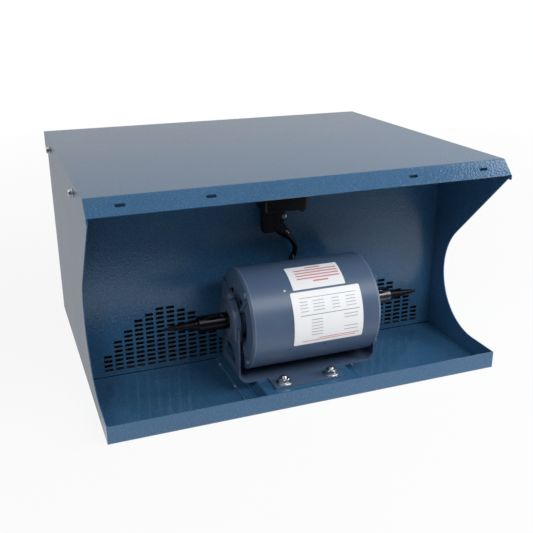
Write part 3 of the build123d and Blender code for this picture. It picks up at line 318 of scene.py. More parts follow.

# %% [markdown]
# The resilient rings are rubber that was sprayed along with the motor, so they are a dusty blue
# grey. The weld beads on the floor are painted paler than the rest, a painted highlight for the
# light they catch. Both are small and half hidden, so one noise between two shades is all that
# either needs.

# %% Rubber dusted with the same spray
dusted = Finish("sprayed_rubber", {"IOR": 1.45})
spray = dusted.noise(300, 3.0)
dusted.feed({"Base Color": dusted.colours(spray, shade(56, 67, 84), shade(82, 95, 115))})
dusted.feed({"Roughness": 0.46 + spray * 0.14})
dusted.bump(spray, 0.12, 0.3 * MM)
finishes["rubber"] = dusted.material
print("paints:", sorted(finishes))

# %% Painted highlight on the weld beads
pale_weld = Finish("weld_paint", {"IOR": 1.5})
ripple = pale_weld.noise(500, 2.0)
# painted highlight: the beads are made paler than the enamel around them
pale_weld.feed({"Base Color": pale_weld.colours(ripple, shade(100, 134, 164), shade(144, 172, 196))})
pale_weld.feed({"Roughness": 0.2 + ripple * 0.1})
weld_paint = pale_weld.material
print("paint for the welds ready")

# %% [markdown]
# ## Bare and plated metals
# A plain metal colour looks like toy chrome. What sells it is how unevenly it reflects: turning
# leaves fine rings, plating leaves soft clouds, and a stack of sheets leaves fine stripes.
# Each metal here is one colour pair with a roughness that follows its own mark of making.

# %% Metals
def metal(slot, pattern, dark, light, rough, bump=0.06, fixed=None):
    """A metal whose tone and gloss follow one pattern, a function of the finish."""
    finish = Finish(slot, {"Metallic": 1.0, **(fixed or {})})
    mark = pattern(finish)
    finish.feed({"Base Color": finish.colours(mark, dark, light)})
    finish.feed({"Roughness": rough[0] + mark * (rough[1] - rough[0])})
    finish.bump(mark, bump, 0.3 * MM)
    finishes[slot] = finish.material


def turned_rings(finish):
    return finish.noise(160, 3.0, (9.0, 0.6, 0.6))


def plating(finish):
    return finish.noise(120, 4.0)


def laminations(finish):
    return (finish.axis(0) * (tau / (0.7 * MM))).math("SINE") * 0.5 + 0.5


def wound_wire(finish):
    strand = (finish.axis(0) * (tau / (1.3 * MM))).math("SINE") * 0.35 + 0.5
    return strand + finish.noise(90, 3.0) * 0.3 - 0.15


metal("zinc", plating, shade(186, 192, 198), shade(228, 232, 235), (0.26, 0.4))
metal("black_steel", turned_rings, shade(28, 27, 31), shade(46, 46, 51), (0.28, 0.38), 0.02)
# bright_steel is paler than black_steel; on the right hub this is a painted highlight
metal("bright_steel", turned_rings, shade(92, 91, 95), shade(108, 107, 112), (0.26, 0.3), 0.005)
metal("core_steel", laminations, shade(84, 86, 90), shade(128, 130, 134), (0.35, 0.55), 0.2)
lacquer = {"Coat Weight": 0.5}
metal("copper", wound_wire, shade(120, 62, 34), shade(196, 112, 64), (0.25, 0.4), 0.3, lacquer)
metal("bronze", plating, shade(52, 46, 38), shade(74, 66, 54), (0.4, 0.55))
metal("cast_aluminium", plating, shade(150, 152, 155), shade(190, 192, 194), (0.4, 0.6), 0.15)
print("metals ready:", len(finishes))

# %% [markdown]
# ## Plastic, cable and filter
# Moulded plastic takes the fine spark texture of its tool. Cable jacket is smoother, with a soft
# sheen. Filter media is a felt of fibres. One noise serves all three, at a scale of its own for
# each, because their grain is too fine to need more.

# %% Plastic, cable and filter
def moulded(slot, dark, light, scale, rough, bump, fixed=None):
    finish = Finish(slot, fixed or {})
    grain = finish.noise(scale, 3.0)
    finish.feed({"Base Color": finish.colours(grain, dark, light)})
    finish.feed({"Roughness": rough[0] + grain * (rough[1] - rough[0])})
    finish.bump(grain, bump, 0.2 * MM)
    finishes[slot] = finish.material


soft, felt = {"IOR": 1.4}, {"Sheen Weight": 0.1}
moulded("black_plastic", shade(12, 13, 19), shade(24, 25, 34), 1400, (0.2, 0.34), 0.1, soft)
moulded("cable_jacket", shade(14, 14, 19), shade(26, 26, 32), 700, (0.2, 0.3), 0.06, soft)
moulded("filter_media", shade(22, 23, 26), shade(48, 48, 50), 900, (0.85, 1.0), 0.5, felt)
print("finishes so far:", len(finishes))

# %% [markdown]
# ## The motor's two plates
# The shell carries a large white plate and a smaller one above it. Both are blank forms here, with
# plain rules, long and short. The rules could be thin strips of mesh, but ink has no height. They
# run along the motor, so each is a band of the angle round the shaft between two places along it.

# %% White film with plain rules
def ruled_film(name, *inks):
    """White film; each ink is a colour and its rules as (angle, half width, from, to).

    The first two are degrees round the shaft, the last two millimetres along it.
    """
    film = Finish(name, {"IOR": 1.46})
    x = film.axis(0)
    angle = (film.axis(2) - SHAFT_Z).math("ARCTAN2", SHAFT_Y - film.axis(1)) * (180 / pi)
    handling = film.noise(60, 3.0)
    colour = film.colours(handling, shade(242, 244, 247), shade(249, 250, 252))
    for ink, rules in inks:
        drawn = 0.0
        for place, half, start, stop in rules:
            drawn = angle.near(place, half) * x.between(start * MM, stop * MM) + drawn
        colour = film.colours(drawn, colour, ink)
    film.feed({"Base Color": colour, "Roughness": 0.4 + handling * 0.15})
    return film.material


GREY_INK, PALE_INK, RED_INK = shade(128, 134, 146), shade(178, 183, 192), shade(214, 128, 134)
head_rules = [(35.5, 0.3, -16, 74), (16.5, 0.35, -17, 76)]
rows, columns = (31.5, 28.0, 24.5, 21.0), ((-16, -4), (4, 22), (34, 46), (56, 72))
form_rules = [(row, 0.45, start, stop) for row in rows for start, stop in columns]
form_rules += [(row, 0.5, -1, 17) for row in (11.0, 7.5, 4.0, 0.5, -3.0, -6.5)]
form_rules += [(row, 0.5, 51, 73) for row in (12.0, 8.5, -2.0, -6.0)]
foot_rules = [(-11.5, 0.45, 12, 76), (-13.8, 0.45, -14, 70)]
rating_inks = (GREY_INK, head_rules), (PALE_INK, form_rules), (RED_INK, foot_rules)
rating_film = ruled_film("rating_film", *rating_inks)
notice_rules = [(row, 0.8, -10, 58) for row in (70.5, 66.5, 62.5, 58.5)]
notice_rules += [(74.5, 0.9, 10, 34), (54.3, 0.9, 14, 38)]
notice_film = ruled_film("notice_film", (RED_INK, notice_rules))
finishes["plate_white"] = rating_film
print("slots with a finish:", len(finishes))

# %% [markdown]
# ## Helpers for meshes
# Every piece ends as a plain mesh at the origin, so that patterns that read the object's own
# coordinates stay where they are. One helper settles modifiers into the mesh, one smooths the
# round faces while flat ones stay crisp, and one puts the piece in the place of its solids.

# %% Mesh helpers
def shown(name, mesh, finish=None, sharp=35):
    """Put a mesh in the scene as a piece, smooth across edges flatter than the given angle."""
    if isinstance(mesh, bmesh.types.BMesh):
        work, mesh = mesh, bpy.data.meshes.new(name)
        work.to_mesh(mesh)
        work.free()
    mesh.polygons.foreach_set("use_smooth", [True] * len(mesh.polygons))
    mesh.set_sharp_from_angle(angle=radians(sharp))
    if finish:
        mesh.materials.clear()
        mesh.materials.append(finish)
    piece = bpy.data.objects.new(name, mesh)
    bpy.context.scene.collection.objects.link(piece)
    return piece


def settle(piece):
    """Turn what a piece's modifiers make into its plain mesh."""
    graph = bpy.context.evaluated_depsgraph_get()
    mesh = bpy.data.meshes.new_from_object(piece.evaluated_get(graph), depsgraph=graph)
    piece.modifiers.clear()
    piece.data = mesh
    return piece


def in_place_of(piece, *nodes):
    """Let a piece stand for these solids and ride on their body."""
    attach(piece, body_of[nodes[0]])
    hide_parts(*nodes)


def skin(rings):
    """A closed mesh through rings of as many points each, with a cap on the first and the last."""
    work = bmesh.new()
    rows = [[work.verts.new(point) for point in ring] for ring in rings]
    count = len(rows[0])
    for lower, upper in zip(rows, rows[1:]):
        for k in range(count):
            n = (k + 1) % count
            work.faces.new((lower[k], lower[n], upper[n], upper[k]))
    work.faces.new(rows[0])
    work.faces.new(rows[-1])
    bmesh.ops.recalc_face_normals(work, faces=work.faces)
    return work


def circle(radius, count):
    """Points (across, up); the radius is a number or a function of the turn from 0 to 1."""
    points = []
    for k in range(count):
        share = k / count
        r = radius(share) if callable(radius) else radius
        points.append((r * cos(tau * share), r * sin(tau * share)))
    return points


def ring_x(x, radius, count):
    """A ring round the motor's shaft."""
    return [(x, SHAFT_Y + across, SHAFT_Z + rise) for across, rise in circle(radius, count)]


def lathe(profile, count=48):
    """A closed mesh of rings round Z, from (height, radius) pairs."""
    rings = []
    for z, radius in profile:
        rings.append([(across, rise, z) for across, rise in circle(radius, count)])
    return skin(rings)


print("mesh helpers ready")

# %% [markdown]
# ## Folded and pressed pieces
# Sheet metal never has a knife edge: shears and presses leave a rounding of a fraction of a
# millimetre, and paint makes it fuller. That thin round catches the light as a bright line.
# The solids have sharp edges, so each visible piece is copied, its loose triangles are welded
# and merged into flat faces, and a small bevel runs along every edge that turns by enough.

# %% Round the edges of the solids
LEAST_TURN = 28


def softened(node, width):
    """A copy of a solid with its edges rounded, standing in its place."""
    work = bmesh.new()
    work.from_mesh(solids[node].data)
    bmesh.ops.remove_doubles(work, verts=work.verts, dist=2e-6)
    bmesh.ops.dissolve_limit(work, angle_limit=radians(0.4), verts=work.verts, edges=work.edges)
    piece = shown(f"{node}_dressed", work, finishes[slot_of[node]], LEAST_TURN)
    bevel = piece.modifiers.new("edge", "BEVEL")
    bevel.width = width * MM
    bevel.segments = 2
    bevel.limit_method = "ANGLE"
    bevel.angle_limit = radians(LEAST_TURN)
    bevel.use_clamp_overlap = True
    bevel.harden_normals = True
    settle(piece)
    low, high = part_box(node)
    for vert in piece.data.vertices:
        vert.co = [min(max(value, low[axis]), high[axis]) for axis, value in enumerate(vert.co)]
    in_place_of(piece, node)


edge_rounds = {
    "base_pan": 0.7,
    "left_side_panel": 0.5,
    "right_side_panel": 0.5,
    "top_cover": 0.5,
    "motor_rail": 0.8,
    "rear_panel": 0.4,
    "vent_wall": 0.35,
    "motor_cradle": 1.0,
    "left_ring_strap": 0.6,
    "right_ring_strap": 0.6,
    "strap_screws": 0.5,
    "left_end_bell": 1.0,
    "right_end_bell": 1.0,
    "motor_shell": 0.5,
    "left_resilient_ring": 0.8,
    "right_resilient_ring": 0.8,
    "switch_box": 0.8,
    "switch_rocker": 0.8,
    "switch_junction": 1.2,
    "switch_gland": 0.5,
    "motor_gland": 0.5,
    "mains_gland": 0.5,
    "through_bolts": 0.4,
    "exhaust_frame": 0.5,
    "exhaust_guard": 0.5,
}
for node, width in edge_rounds.items():
    softened(node, width)
print("pieces with rounded edges:", len(edge_rounds))

# %% [markdown]
# ## The spindles
# Each spindle is a turned hub that slides on the shaft, and a taper with a coarse thread, so that
# a felt or cotton wheel screws itself tight. The two threads run opposite ways. A thread is a
# radius that rises and falls with the place along the taper plus the turn round it, so the taper
# is a skin of fine rings whose radius is worked out point by point.

# %% Turned hubs
HUB_RADIUS, HUB_EDGE, BORE = 12.5 * MM, 1.2 * MM, 8.04 * MM
BORE_DEPTH, CORE = 28 * MM, 0.2 * MM
SET_SCREW_INSET, SET_SCREW_RADIUS, SET_SCREW_ANGLE = 12 * MM, 3.1 * MM, 125


def turned_hub(node, inner, outward, length, finish):
    outline = [
        (BORE_DEPTH, CORE),
        (BORE_DEPTH, BORE),
        (0, BORE),
        (0, HUB_RADIUS - HUB_EDGE),
        (0.35 * MM, HUB_RADIUS - 0.5 * HUB_EDGE),
        (HUB_EDGE, HUB_RADIUS),
        (length - 8.0 * MM, HUB_RADIUS),
        (length - 7.6 * MM, HUB_RADIUS - 0.35 * MM),
        (length - 7.2 * MM, HUB_RADIUS),
        (length - HUB_EDGE, HUB_RADIUS),
        (length - 0.35 * MM, HUB_RADIUS - 0.5 * HUB_EDGE),
        (length, HUB_RADIUS - HUB_EDGE),
        (length, CORE),
    ]
    rings = [ring_x(inner + outward * x, radius, 64) for x, radius in outline]
    hub = shown(f"{node}_hub", skin(rings), finish)
    angle = radians(SET_SCREW_ANGLE)
    across = Vector((0, cos(angle), sin(angle)))
    hole = Vector((inner + outward * SET_SCREW_INSET, SHAFT_Y, SHAFT_Z)) + across * HUB_RADIUS
    place = Matrix.Translation(hole) @ across.to_track_quat("Z", "Y").to_matrix().to_4x4()
    size = {"radius1": SET_SCREW_RADIUS, "radius2": SET_SCREW_RADIUS, "depth": HUB_RADIUS}
    cone = bmesh.new()
    bmesh.ops.create_cone(cone, cap_ends=True, segments=24, matrix=place, **size)
    bit = shown("drill_bit", cone)
    hub.modifiers.new("set_screw_hole", "BOOLEAN").object = bit
    settle(hub)
    bpy.data.objects.remove(bit)
    return hub


print("hubs ready to turn")

# %% Threaded tapers
TAPER_RADIUS, TIP_RADIUS, TAPER_LENGTH = 8.5 * MM, 2.0 * MM, 50 * MM
PITCH, THREAD_DEPTH = 2.6 * MM, 0.75 * MM


def taper_ring(start, along, outward):
    mean = TAPER_RADIUS + (TIP_RADIUS - TAPER_RADIUS) * along / TAPER_LENGTH
    fade = max(0.0, min(1.0, along / PITCH - 0.3, (TAPER_LENGTH - along) / PITCH))

    def radius(share):
        phase = (along / PITCH + outward * share) % 1
        groove = min(1.0, abs(2 * phase - 1) * 1.5)
        return mean - THREAD_DEPTH * (1 - groove) * fade

    return ring_x(start + outward * along, radius, 36)


def spindle(node, outward, hub_length, hub_finish):
    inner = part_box(node)[1].x if outward < 0 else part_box(node)[0].x
    hub = turned_hub(node, inner, outward, hub_length, hub_finish)
    start = inner + outward * hub_length
    steps = int(TAPER_LENGTH / (PITCH / 7))
    rings = [taper_ring(start, TAPER_LENGTH * k / steps, outward) for k in range(steps + 1)]
    taper = shown(f"{node}_taper", skin(rings), finishes["black_steel"], 60)
    for piece in (hub, taper):
        in_place_of(piece, node)


spindle("left_spindle", -1, 43.5 * MM, finishes["black_steel"])
# painted highlight: the right hub takes a paler steel than the left, to show a lamp's reflection in
# it
spindle("right_spindle", 1, 35.5 * MM, finishes["bright_steel"])
print("spindles turned")

# %% [markdown]
# ## Fasteners
# Nuts, studs, screws and weld beads all repeat, so each is modelled once, standing on the origin
# with its head up, and a geometry node tree sets a copy on every point of a small cloud. Copying
# objects would do too, but the tree leaves one mesh for each kind.
# Two attributes on the points say which way a copy faces and how far it is turned, because no
# two screws stop at the same angle. The copies are realized before they become a piece.

# %% A tree that sets copies on points
def geometry_tree(name, result, **inputs):
    """A geometry tree with these inputs, each with its kind, and a wire from each of them."""
    graph = bpy.data.node_groups.new(name, "GeometryNodeTree")
    for label, kind in inputs.items():
        graph.interface.new_socket(label, in_out="INPUT", socket_type=f"NodeSocket{kind}")
    graph.interface.new_socket(result, in_out="OUTPUT", socket_type="NodeSocketGeometry")
    tree = Tree(graph)
    return tree, [tree.node("NodeGroupInput", output=label) for label in inputs]


def copies_tree():
    inputs = {"Points": "Geometry", "Model": "Object", "Finish": "Material"}
    tree, (points, model, finish) = geometry_tree("copies_on_points", "Copies", **inputs)
    kind = "GeometryNodeInputNamedAttribute"
    facing = tree.node(kind, {"data_type": "FLOAT_VECTOR"}, {"Name": "facing"})
    spin = tree.node(kind, {"data_type": "FLOAT"}, {"Name": "spin"})
    upright = tree.node("FunctionNodeAlignRotationToVector", {"axis": "Z"}, {"Vector": facing})
    about = tree.node("FunctionNodeAxisAngleToRotation", {}, {"Axis": (0, 0, 1), "Angle": spin})
    inputs = {"Rotation": upright, "Rotate By": about}
    turned = tree.node("FunctionNodeRotateRotation", {"rotation_space": "LOCAL"}, inputs)
    shape = tree.node("GeometryNodeObjectInfo", {}, {"Object": model}, "Geometry")
    inputs = {"Points": points, "Instance": shape, "Rotation": turned}
    placed = tree.node("GeometryNodeInstanceOnPoints", {}, inputs)
    real = tree.node("GeometryNodeRealizeInstances", {}, {"Geometry": placed})
    coated = tree.node("GeometryNodeSetMaterial", {}, {"Geometry": real, "Material": finish})
    tree.node("NodeGroupOutput", {}, {0: coated})
    return tree.graph


copies = copies_tree()
print("nodes that set copies:", len(copies.nodes))

# %% Run the tree on a cloud of points
def run_tree(piece, graph, values):
    """Give a piece a geometry tree, with values for its inputs."""
    setter = piece.modifiers.new(graph.name, "NODES")
    setter.node_group = graph
    for item in graph.interface.items_tree:
        if item.name in values:
            setter[item.identifier] = values[item.name]


def set_copies(name, model, places, finish):
    """Copies of a model on (point, facing, spin in degrees) places, as one plain piece."""
    cloud = bpy.data.meshes.new(name)
    cloud.from_pydata([place[0] for place in places], [], [])
    cloud.attributes.new("facing", "FLOAT_VECTOR", "POINT")
    cloud.attributes.new("spin", "FLOAT", "POINT")
    for index, (_, direction, degrees) in enumerate(places):
        cloud.attributes["facing"].data[index].vector = direction
        cloud.attributes["spin"].data[index].value = radians(degrees)
    piece = bpy.data.objects.new(name, cloud)
    bpy.context.scene.collection.objects.link(piece)
    run_tree(piece, copies, {"Model": model, "Finish": finish})
    settle(piece)
    print(name, "copies:", len(places), "faces:", len(piece.data.polygons))
    return piece


print("ready to set copies")

# %% [markdown]
# Flange nuts on studs hold the cradle down. A prism would pass for a nut from afar, but the light
# shows the wide flange pressed into its foot and the corners that a cone has chamfered. So its
# outline at each height is the smaller of a hexagon and a circle. The stud's thread follows the
# same rule as the taper's.

# %% Flange nut and stud
STUD_HEAD = 5.0 * MM


def hexagon(flats, limit):
    """The outline of a hexagon, cut off by a circle."""
    def radius(share):
        corner = (share * 6 % 1 - 0.5) * tau / 6
        return min(flats / 2 / cos(corner), limit)

    return radius


def flange_nut():
    flats, collar, bore = 15.0 * MM, 11.2 * MM, 4.07 * MM
    corner = flats / 2 / cos(pi / 6)
    work = lathe([
        (0, bore),
        (0, collar - 0.4 * MM),
        (0.35 * MM, collar),
        (1.4 * MM, collar),
        (2.1 * MM, collar - 0.6 * MM),
        (2.7 * MM, hexagon(flats, corner)),
        (7.2 * MM, hexagon(flats, corner)),
        (8.0 * MM, hexagon(flats, flats / 2 * 1.03)),
        (8.5 * MM, flats / 2 * 0.93),
        (8.5 * MM, bore + 0.5 * MM),
        (8.0 * MM, bore),
        (0, bore),
    ])
    bmesh.ops.remove_doubles(work, verts=work.verts, dist=1e-7)
    return work


def threaded(lower, upper, radius, pitch, depth):
    """Heights and radii of a thread that fades out at both ends and is pointed at the upper one."""
    profile = []
    steps = int((upper - lower) / (pitch / 6))
    for k in range(steps + 1):
        z = lower + (upper - lower) * k / steps
        fade = max(0.0, min(1.0, (z - lower) / pitch, (upper - z) / pitch))
        point = 0.35 * MM if z > upper - 0.5 * MM else 0.0

        def cut(share, z=z, fade=fade, point=point):
            phase = (z / pitch - share) % 1
            return radius - depth * (1 - abs(2 * phase - 1)) * fade - point

        profile.append((z, cut))
    return profile


def mount_stud():
    """A hexagon head, a shank and a thread; where the head ends is the origin."""
    flats, radius = 15.0 * MM, 3.97 * MM
    corner = flats / 2 / cos(pi / 6)
    head = [
        (-STUD_HEAD, flats / 2 * 0.9),
        (-4.5 * MM, hexagon(flats, flats / 2 * 1.04)),
        (-4.0 * MM, hexagon(flats, corner)),
        (-0.2 * MM, hexagon(flats, corner)),
        (0, flats / 2 * 0.95),
        (0, radius),
    ]
    return lathe(head + threaded(4.0 * MM, 17.0 * MM, radius, 1.6 * MM, 0.6 * MM), 28)


models = {"nut": shown("nut", flange_nut(), None, 40)}
models["stud"] = shown("stud", mount_stud(), None, 40)
print("models:", list(models))

# %% [markdown]
# The cover's screws have hexagon heads with a collar and a shallow dish on top. The others have
# pan heads with a cross recess. The recess could be cut with a boolean, but the head is a dome of
# fine rings, so it is enough to lower the points that lie on two crossing bars.

# %% Screws
PAN_RADIUS, PAN_RISE, COLLAR_RISE = 4.0 * MM, 2.2 * MM, 6.0 * MM
SHANK = 2.0 * MM


def shank(length):
    """The part of a screw below its seat at the origin."""
    return [(-length, CORE), (-length, SHANK * 0.7), (-length + 0.7 * MM, SHANK), (0, SHANK)]


def pan_screw(length):
    bar, reach, recess = 0.55 * MM, PAN_RADIUS * 0.55, 1.1 * MM
    profile = shank(length)
    profile += [(0, PAN_RADIUS - 0.1 * MM), (0.2 * MM, PAN_RADIUS), (PAN_RISE * 0.4, PAN_RADIUS)]
    for part in (0.95, 0.88, 0.78, 0.66, 0.56, 0.5, 0.44, 0.36, 0.28, 0.2, 0.1, 0.02):
        profile.append((PAN_RISE * (0.4 + 0.6 * (1 - part**2.6)), PAN_RADIUS * part))
    work = lathe(profile, 64)
    for vert in work.verts:
        near, far = sorted((abs(vert.co.x), abs(vert.co.y)))
        if vert.co.z > PAN_RISE * 0.41 and near < bar and far < reach:
            vert.co.z -= recess
    return work


def collar_screw(length):
    flats, collar = 9.5 * MM, 6.2 * MM
    corner = flats / 2 / cos(pi / 6)
    return lathe(shank(length) + [
        (0, collar - 0.3 * MM),
        (0.3 * MM, collar),
        (0.9 * MM, collar),
        (1.2 * MM, collar - 0.4 * MM),
        (1.6 * MM, hexagon(flats, corner)),
        (COLLAR_RISE - 1.0 * MM, hexagon(flats, corner)),
        (COLLAR_RISE - 0.4 * MM, hexagon(flats, flats / 2 * 1.04)),
        (COLLAR_RISE, flats / 2 * 0.9),
        (COLLAR_RISE, flats / 2 * 0.62),
        (COLLAR_RISE - 0.6 * MM, flats / 2 * 0.5),
        (COLLAR_RISE - 0.6 * MM, CORE),
    ])


models["screw"] = shown("screw", pan_screw(7.0 * MM), None, 40)
models["long_screw"] = shown("long_screw", pan_screw(30.0 * MM), None, 40)
models["collar_screw"] = shown("collar_screw", collar_screw(7.0 * MM), None, 40)
print("models:", list(models))

# %% [markdown]
# Places come from the solids themselves: a fastener's seat is the face of its box, so nothing is
# measured twice.

# %% Set the nuts and studs
def middle(node):
    low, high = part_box(node)
    return (low + high) / 2, low, high


def four(stem):
    return [f"{stem}_{index}" for index in range(1, 5)]


nut_places, stud_places = [], []
for nut, bolt, spin in zip(four("mount_nut"), four("mount_bolt"), (12, 41, 3, 27)):
    centre, low, high = middle(nut)
    nut_places.append(((centre.x, centre.y, low.z), (0, 0, 1), spin))
    centre, low, high = middle(bolt)
    stud_places.append(((centre.x, centre.y, low.z + STUD_HEAD), (0, 0, 1), spin + 9))
nuts = set_copies("flange_nuts", models["nut"], nut_places, finishes["zinc"])
in_place_of(nuts, *four("mount_nut"))
studs = set_copies("mount_studs", models["stud"], stud_places, finishes["zinc"])
in_place_of(studs, *four("mount_bolt"))

# %% Set the screws
cover_places = []
for node, spin in zip(four("cover_screw"), (20, 65, 38, 5)):
    centre, low, high = middle(node)
    side = -1 if centre.x < 0 else 1
    seat = low.x + COLLAR_RISE if side < 0 else high.x - COLLAR_RISE
    cover_places.append(((seat, centre.y, centre.z), (side, 0, 0), spin))
cover_screws = set_copies("cover_screws", models["collar_screw"], cover_places, finishes["zinc"])
in_place_of(cover_screws, *four("cover_screw"))

centre, low, high = middle("switch_screw")
switch_place = ((centre.x, low.y + PAN_RISE, centre.z), (0, -1, 0), 30)
long_screw = models["long_screw"]
switch_screw = set_copies("switch_fixing_screw", long_screw, [switch_place], finishes["zinc"])
in_place_of(switch_screw, "switch_screw")


def screws_behind(name, node, rows, spin):
    """Pan screws on the back, in two columns and some rows that fill the node's box."""
    low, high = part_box(node)
    step = (high.z - low.z - 2 * PAN_RADIUS) / (rows - 1)
    places = []
    for x in (low.x + PAN_RADIUS, high.x - PAN_RADIUS):
        for row in range(rows):
            seat = (x, high.y - PAN_RISE, low.z + PAN_RADIUS + row * step)
            places.append((seat, (0, 1, 0), spin * len(places)))
    in_place_of(set_copies(name, models["screw"], places, finishes["zinc"]), node)


screws_behind("rear_screws", "rear_panel_screws", 3, 17)
screws_behind("guard_screws", "exhaust_screws", 2, 23)

# %% [markdown]
# The rail is welded down by four short beads where its flanges meet the floor. A bead is a
# flattened ball with a slight ripple, which at that size is as good as a sculpted one.

# %% Set the weld beads
BEAD_ROWS, BEAD_LEVEL = (-0.174, -0.099), 3.4 * MM


def weld_bead():
    """A short run of weld, low and rounded, lying along its own X."""
    work = bmesh.new()
    bmesh.ops.create_uvsphere(work, u_segments=20, v_segments=10, radius=1.0)
    bmesh.ops.scale(work, vec=(4.4 * MM, 2.6 * MM, 1.7 * MM), verts=work.verts)
    for vert in work.verts:
        vert.co.z += 0.12 * MM * sin(vert.co.x / (0.55 * MM))
    return work


models["bead"] = shown("bead", weld_bead(), None, 40)
rail_low, rail_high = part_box("motor_rail")
bead_places = []
for x in (rail_low.x, rail_high.x):
    for y in BEAD_ROWS:
        bead_places.append(((x, y, BEAD_LEVEL), (0, 0, 1), 90))
beads = set_copies("rail_welds", models["bead"], bead_places, weld_paint)
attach(beads, "cabinet")
for model in models.values():
    bpy.data.objects.remove(model)

# %% [markdown]
# ## The plates on the shell
# Each plate is a thin film with rounded corners, bent round the shell. A row of cross strips at
# steps of the angle makes it: near the two ends the strips are shorter, as the corner rounds off.

# %% Bend the plates round the shell
def bent_plate(node, angles, corner, finish):
    low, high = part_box(node)
    inner, outer = SHELL_RADIUS + 0.05 * MM, SHELL_RADIUS + 0.45 * MM
    first, last = [radians(angle) for angle in angles]
    length = (last - first) * SHELL_RADIUS
    marks = [corner * (1 - cos(pi / 2 * k / 6)) for k in range(7)]
    marks += [corner + (length - 2 * corner) * k / 30 for k in range(1, 30)]
    marks += [length - mark for mark in reversed(marks[:7])]
    rings = []
    for mark in marks:
        short = corner - min(corner, mark, length - mark)
        inset = corner - max(corner**2 - short**2, 0.0) ** 0.5
        angle = first + mark / SHELL_RADIUS
        y, z = -cos(angle), sin(angle)
        left, right = low.x + inset, high.x - inset
        corners = ((left, outer), (right, outer), (right, inner), (left, inner))
        rings.append([(x, SHAFT_Y + radius * y, SHAFT_Z + radius * z) for x, radius in corners])
    plate = shown(f"{node}_film", skin(rings), finish, 40)
    in_place_of(plate, node)


bent_plate("rating_plate", (-18.0, 43.0), 2.5 * MM, rating_film)
bent_plate("notice_plate", (45.5, 78.0), 1.2 * MM, notice_film)
print("plates bent")

# %% [markdown]
# ## The motor lead
# A short black lead runs from the switch's gland down into the motor. It is stiff flex held at
# both ends, so it bows gently. A NURBS curve led by a few control points gives that bow, and its
# bevel gives the jacket. It is made a mesh at once.

# %% Draw the motor lead
lead_route = [
    (2.71, -93.0, 223.29),
    (27.46, -93.0, 198.54),
    (35.5, -89.5, 182.0),
    (36.0, -82.0, 170.0),
    (27.0, -87.46, 161.1),
    (27.0, -99.74, 152.49),
]
lead_curve = bpy.data.curves.new("motor_lead", "CURVE")
lead_curve.dimensions = "3D"
lead_curve.bevel_depth = 4.3 * MM
lead_curve.bevel_resolution = 6
lead_curve.use_fill_caps = True
lead_line = lead_curve.splines.new("NURBS")
lead_line.points.add(len(lead_route) - 1)
for point, place in zip(lead_line.points, lead_route):
    point.co = (*[value * MM for value in place], 1.0)
lead_line.order_u = 3
lead_line.use_endpoint_u = True
lead_line.resolution_u = 12
drawn_lead = bpy.data.objects.new("motor_lead_curve", lead_curve)
bpy.context.scene.collection.objects.link(drawn_lead)
graph = bpy.context.evaluated_depsgraph_get()
lead_mesh = bpy.data.meshes.new_from_object(drawn_lead.evaluated_get(graph), depsgraph=graph)
bpy.data.objects.remove(drawn_lead)
motor_lead = shown("motor_lead", lead_mesh, finishes["cable_jacket"], 60)
in_place_of(motor_lead, "motor_cable")
print("lead faces:", len(lead_mesh.polygons))

# %% [markdown]
# ## Pleated filters
# Behind the vented wall stand two framed filters. Their media is one long sheet folded to and
# fro, which is a rule: the depth of the sheet is a ping-pong of the place along it. A geometry
# node tree folds a grid that way, and a frame of four card bars goes round it.

# %% A tree that folds a sheet
def pleats_tree():
    inputs = {name: "Float" for name in ("Width", "Height", "Depth", "Pitch")}
    inputs.update({"Folds": "Int", "Finish": "Material"})
    tree, wires = geometry_tree("pleated_sheet", "Sheet", **inputs)
    width, height, depth, pitch, folds, finish = wires
    inputs = {"Size X": width, "Size Y": height, "Vertices X": folds, "Vertices Y": 2}
    grid = tree.node("GeometryNodeMeshGrid", {}, inputs)
    place = tree.node("GeometryNodeInputPosition")
    x, y = [tree.node("ShaderNodeSeparateXYZ", {}, {0: place}, index) for index in (0, 1)]
    fold = (x + width * 0.5).math("PINGPONG", pitch) / pitch
    folded = tree.node("ShaderNodeCombineXYZ", {}, {0: x, 1: (fold - 0.5) * depth, 2: y})
    sheet = tree.node("GeometryNodeSetPosition", {}, {"Geometry": grid, "Position": folded})
    real = tree.node("GeometryNodeRealizeInstances", {}, {"Geometry": sheet})
    coated = tree.node("GeometryNodeSetMaterial", {}, {"Geometry": real, "Material": finish})
    tree.node("NodeGroupOutput", {}, {0: coated})
    return tree.graph


pleats = pleats_tree()
print("nodes that fold:", len(pleats.nodes))

# %% Fold the sheets and frame them
CARD, PLEAT_PITCH, FELT = 9 * MM, 5 * MM, 0.8 * MM


def pleated_media(node, low, high):
    size = high - low
    sheet = bpy.data.objects.new(f"{node}_pleats", bpy.data.meshes.new(node))
    bpy.context.scene.collection.objects.link(sheet)
    count = int((size.x - 2 * CARD) / PLEAT_PITCH)
    run_tree(sheet, pleats, {
        "Width": count * PLEAT_PITCH,
        "Height": size.z - 2 * CARD + 2 * MM,
        "Depth": size.y - 5 * MM,
        "Pitch": PLEAT_PITCH,
        "Folds": count + 1,
        "Finish": finishes["filter_media"],
    })
    wall = sheet.modifiers.new("felt", "SOLIDIFY")
    wall.thickness = FELT
    wall.offset = 0.0
    settle(sheet)
    sheet.data.transform(Matrix.Translation((low + high) / 2))
    return sheet


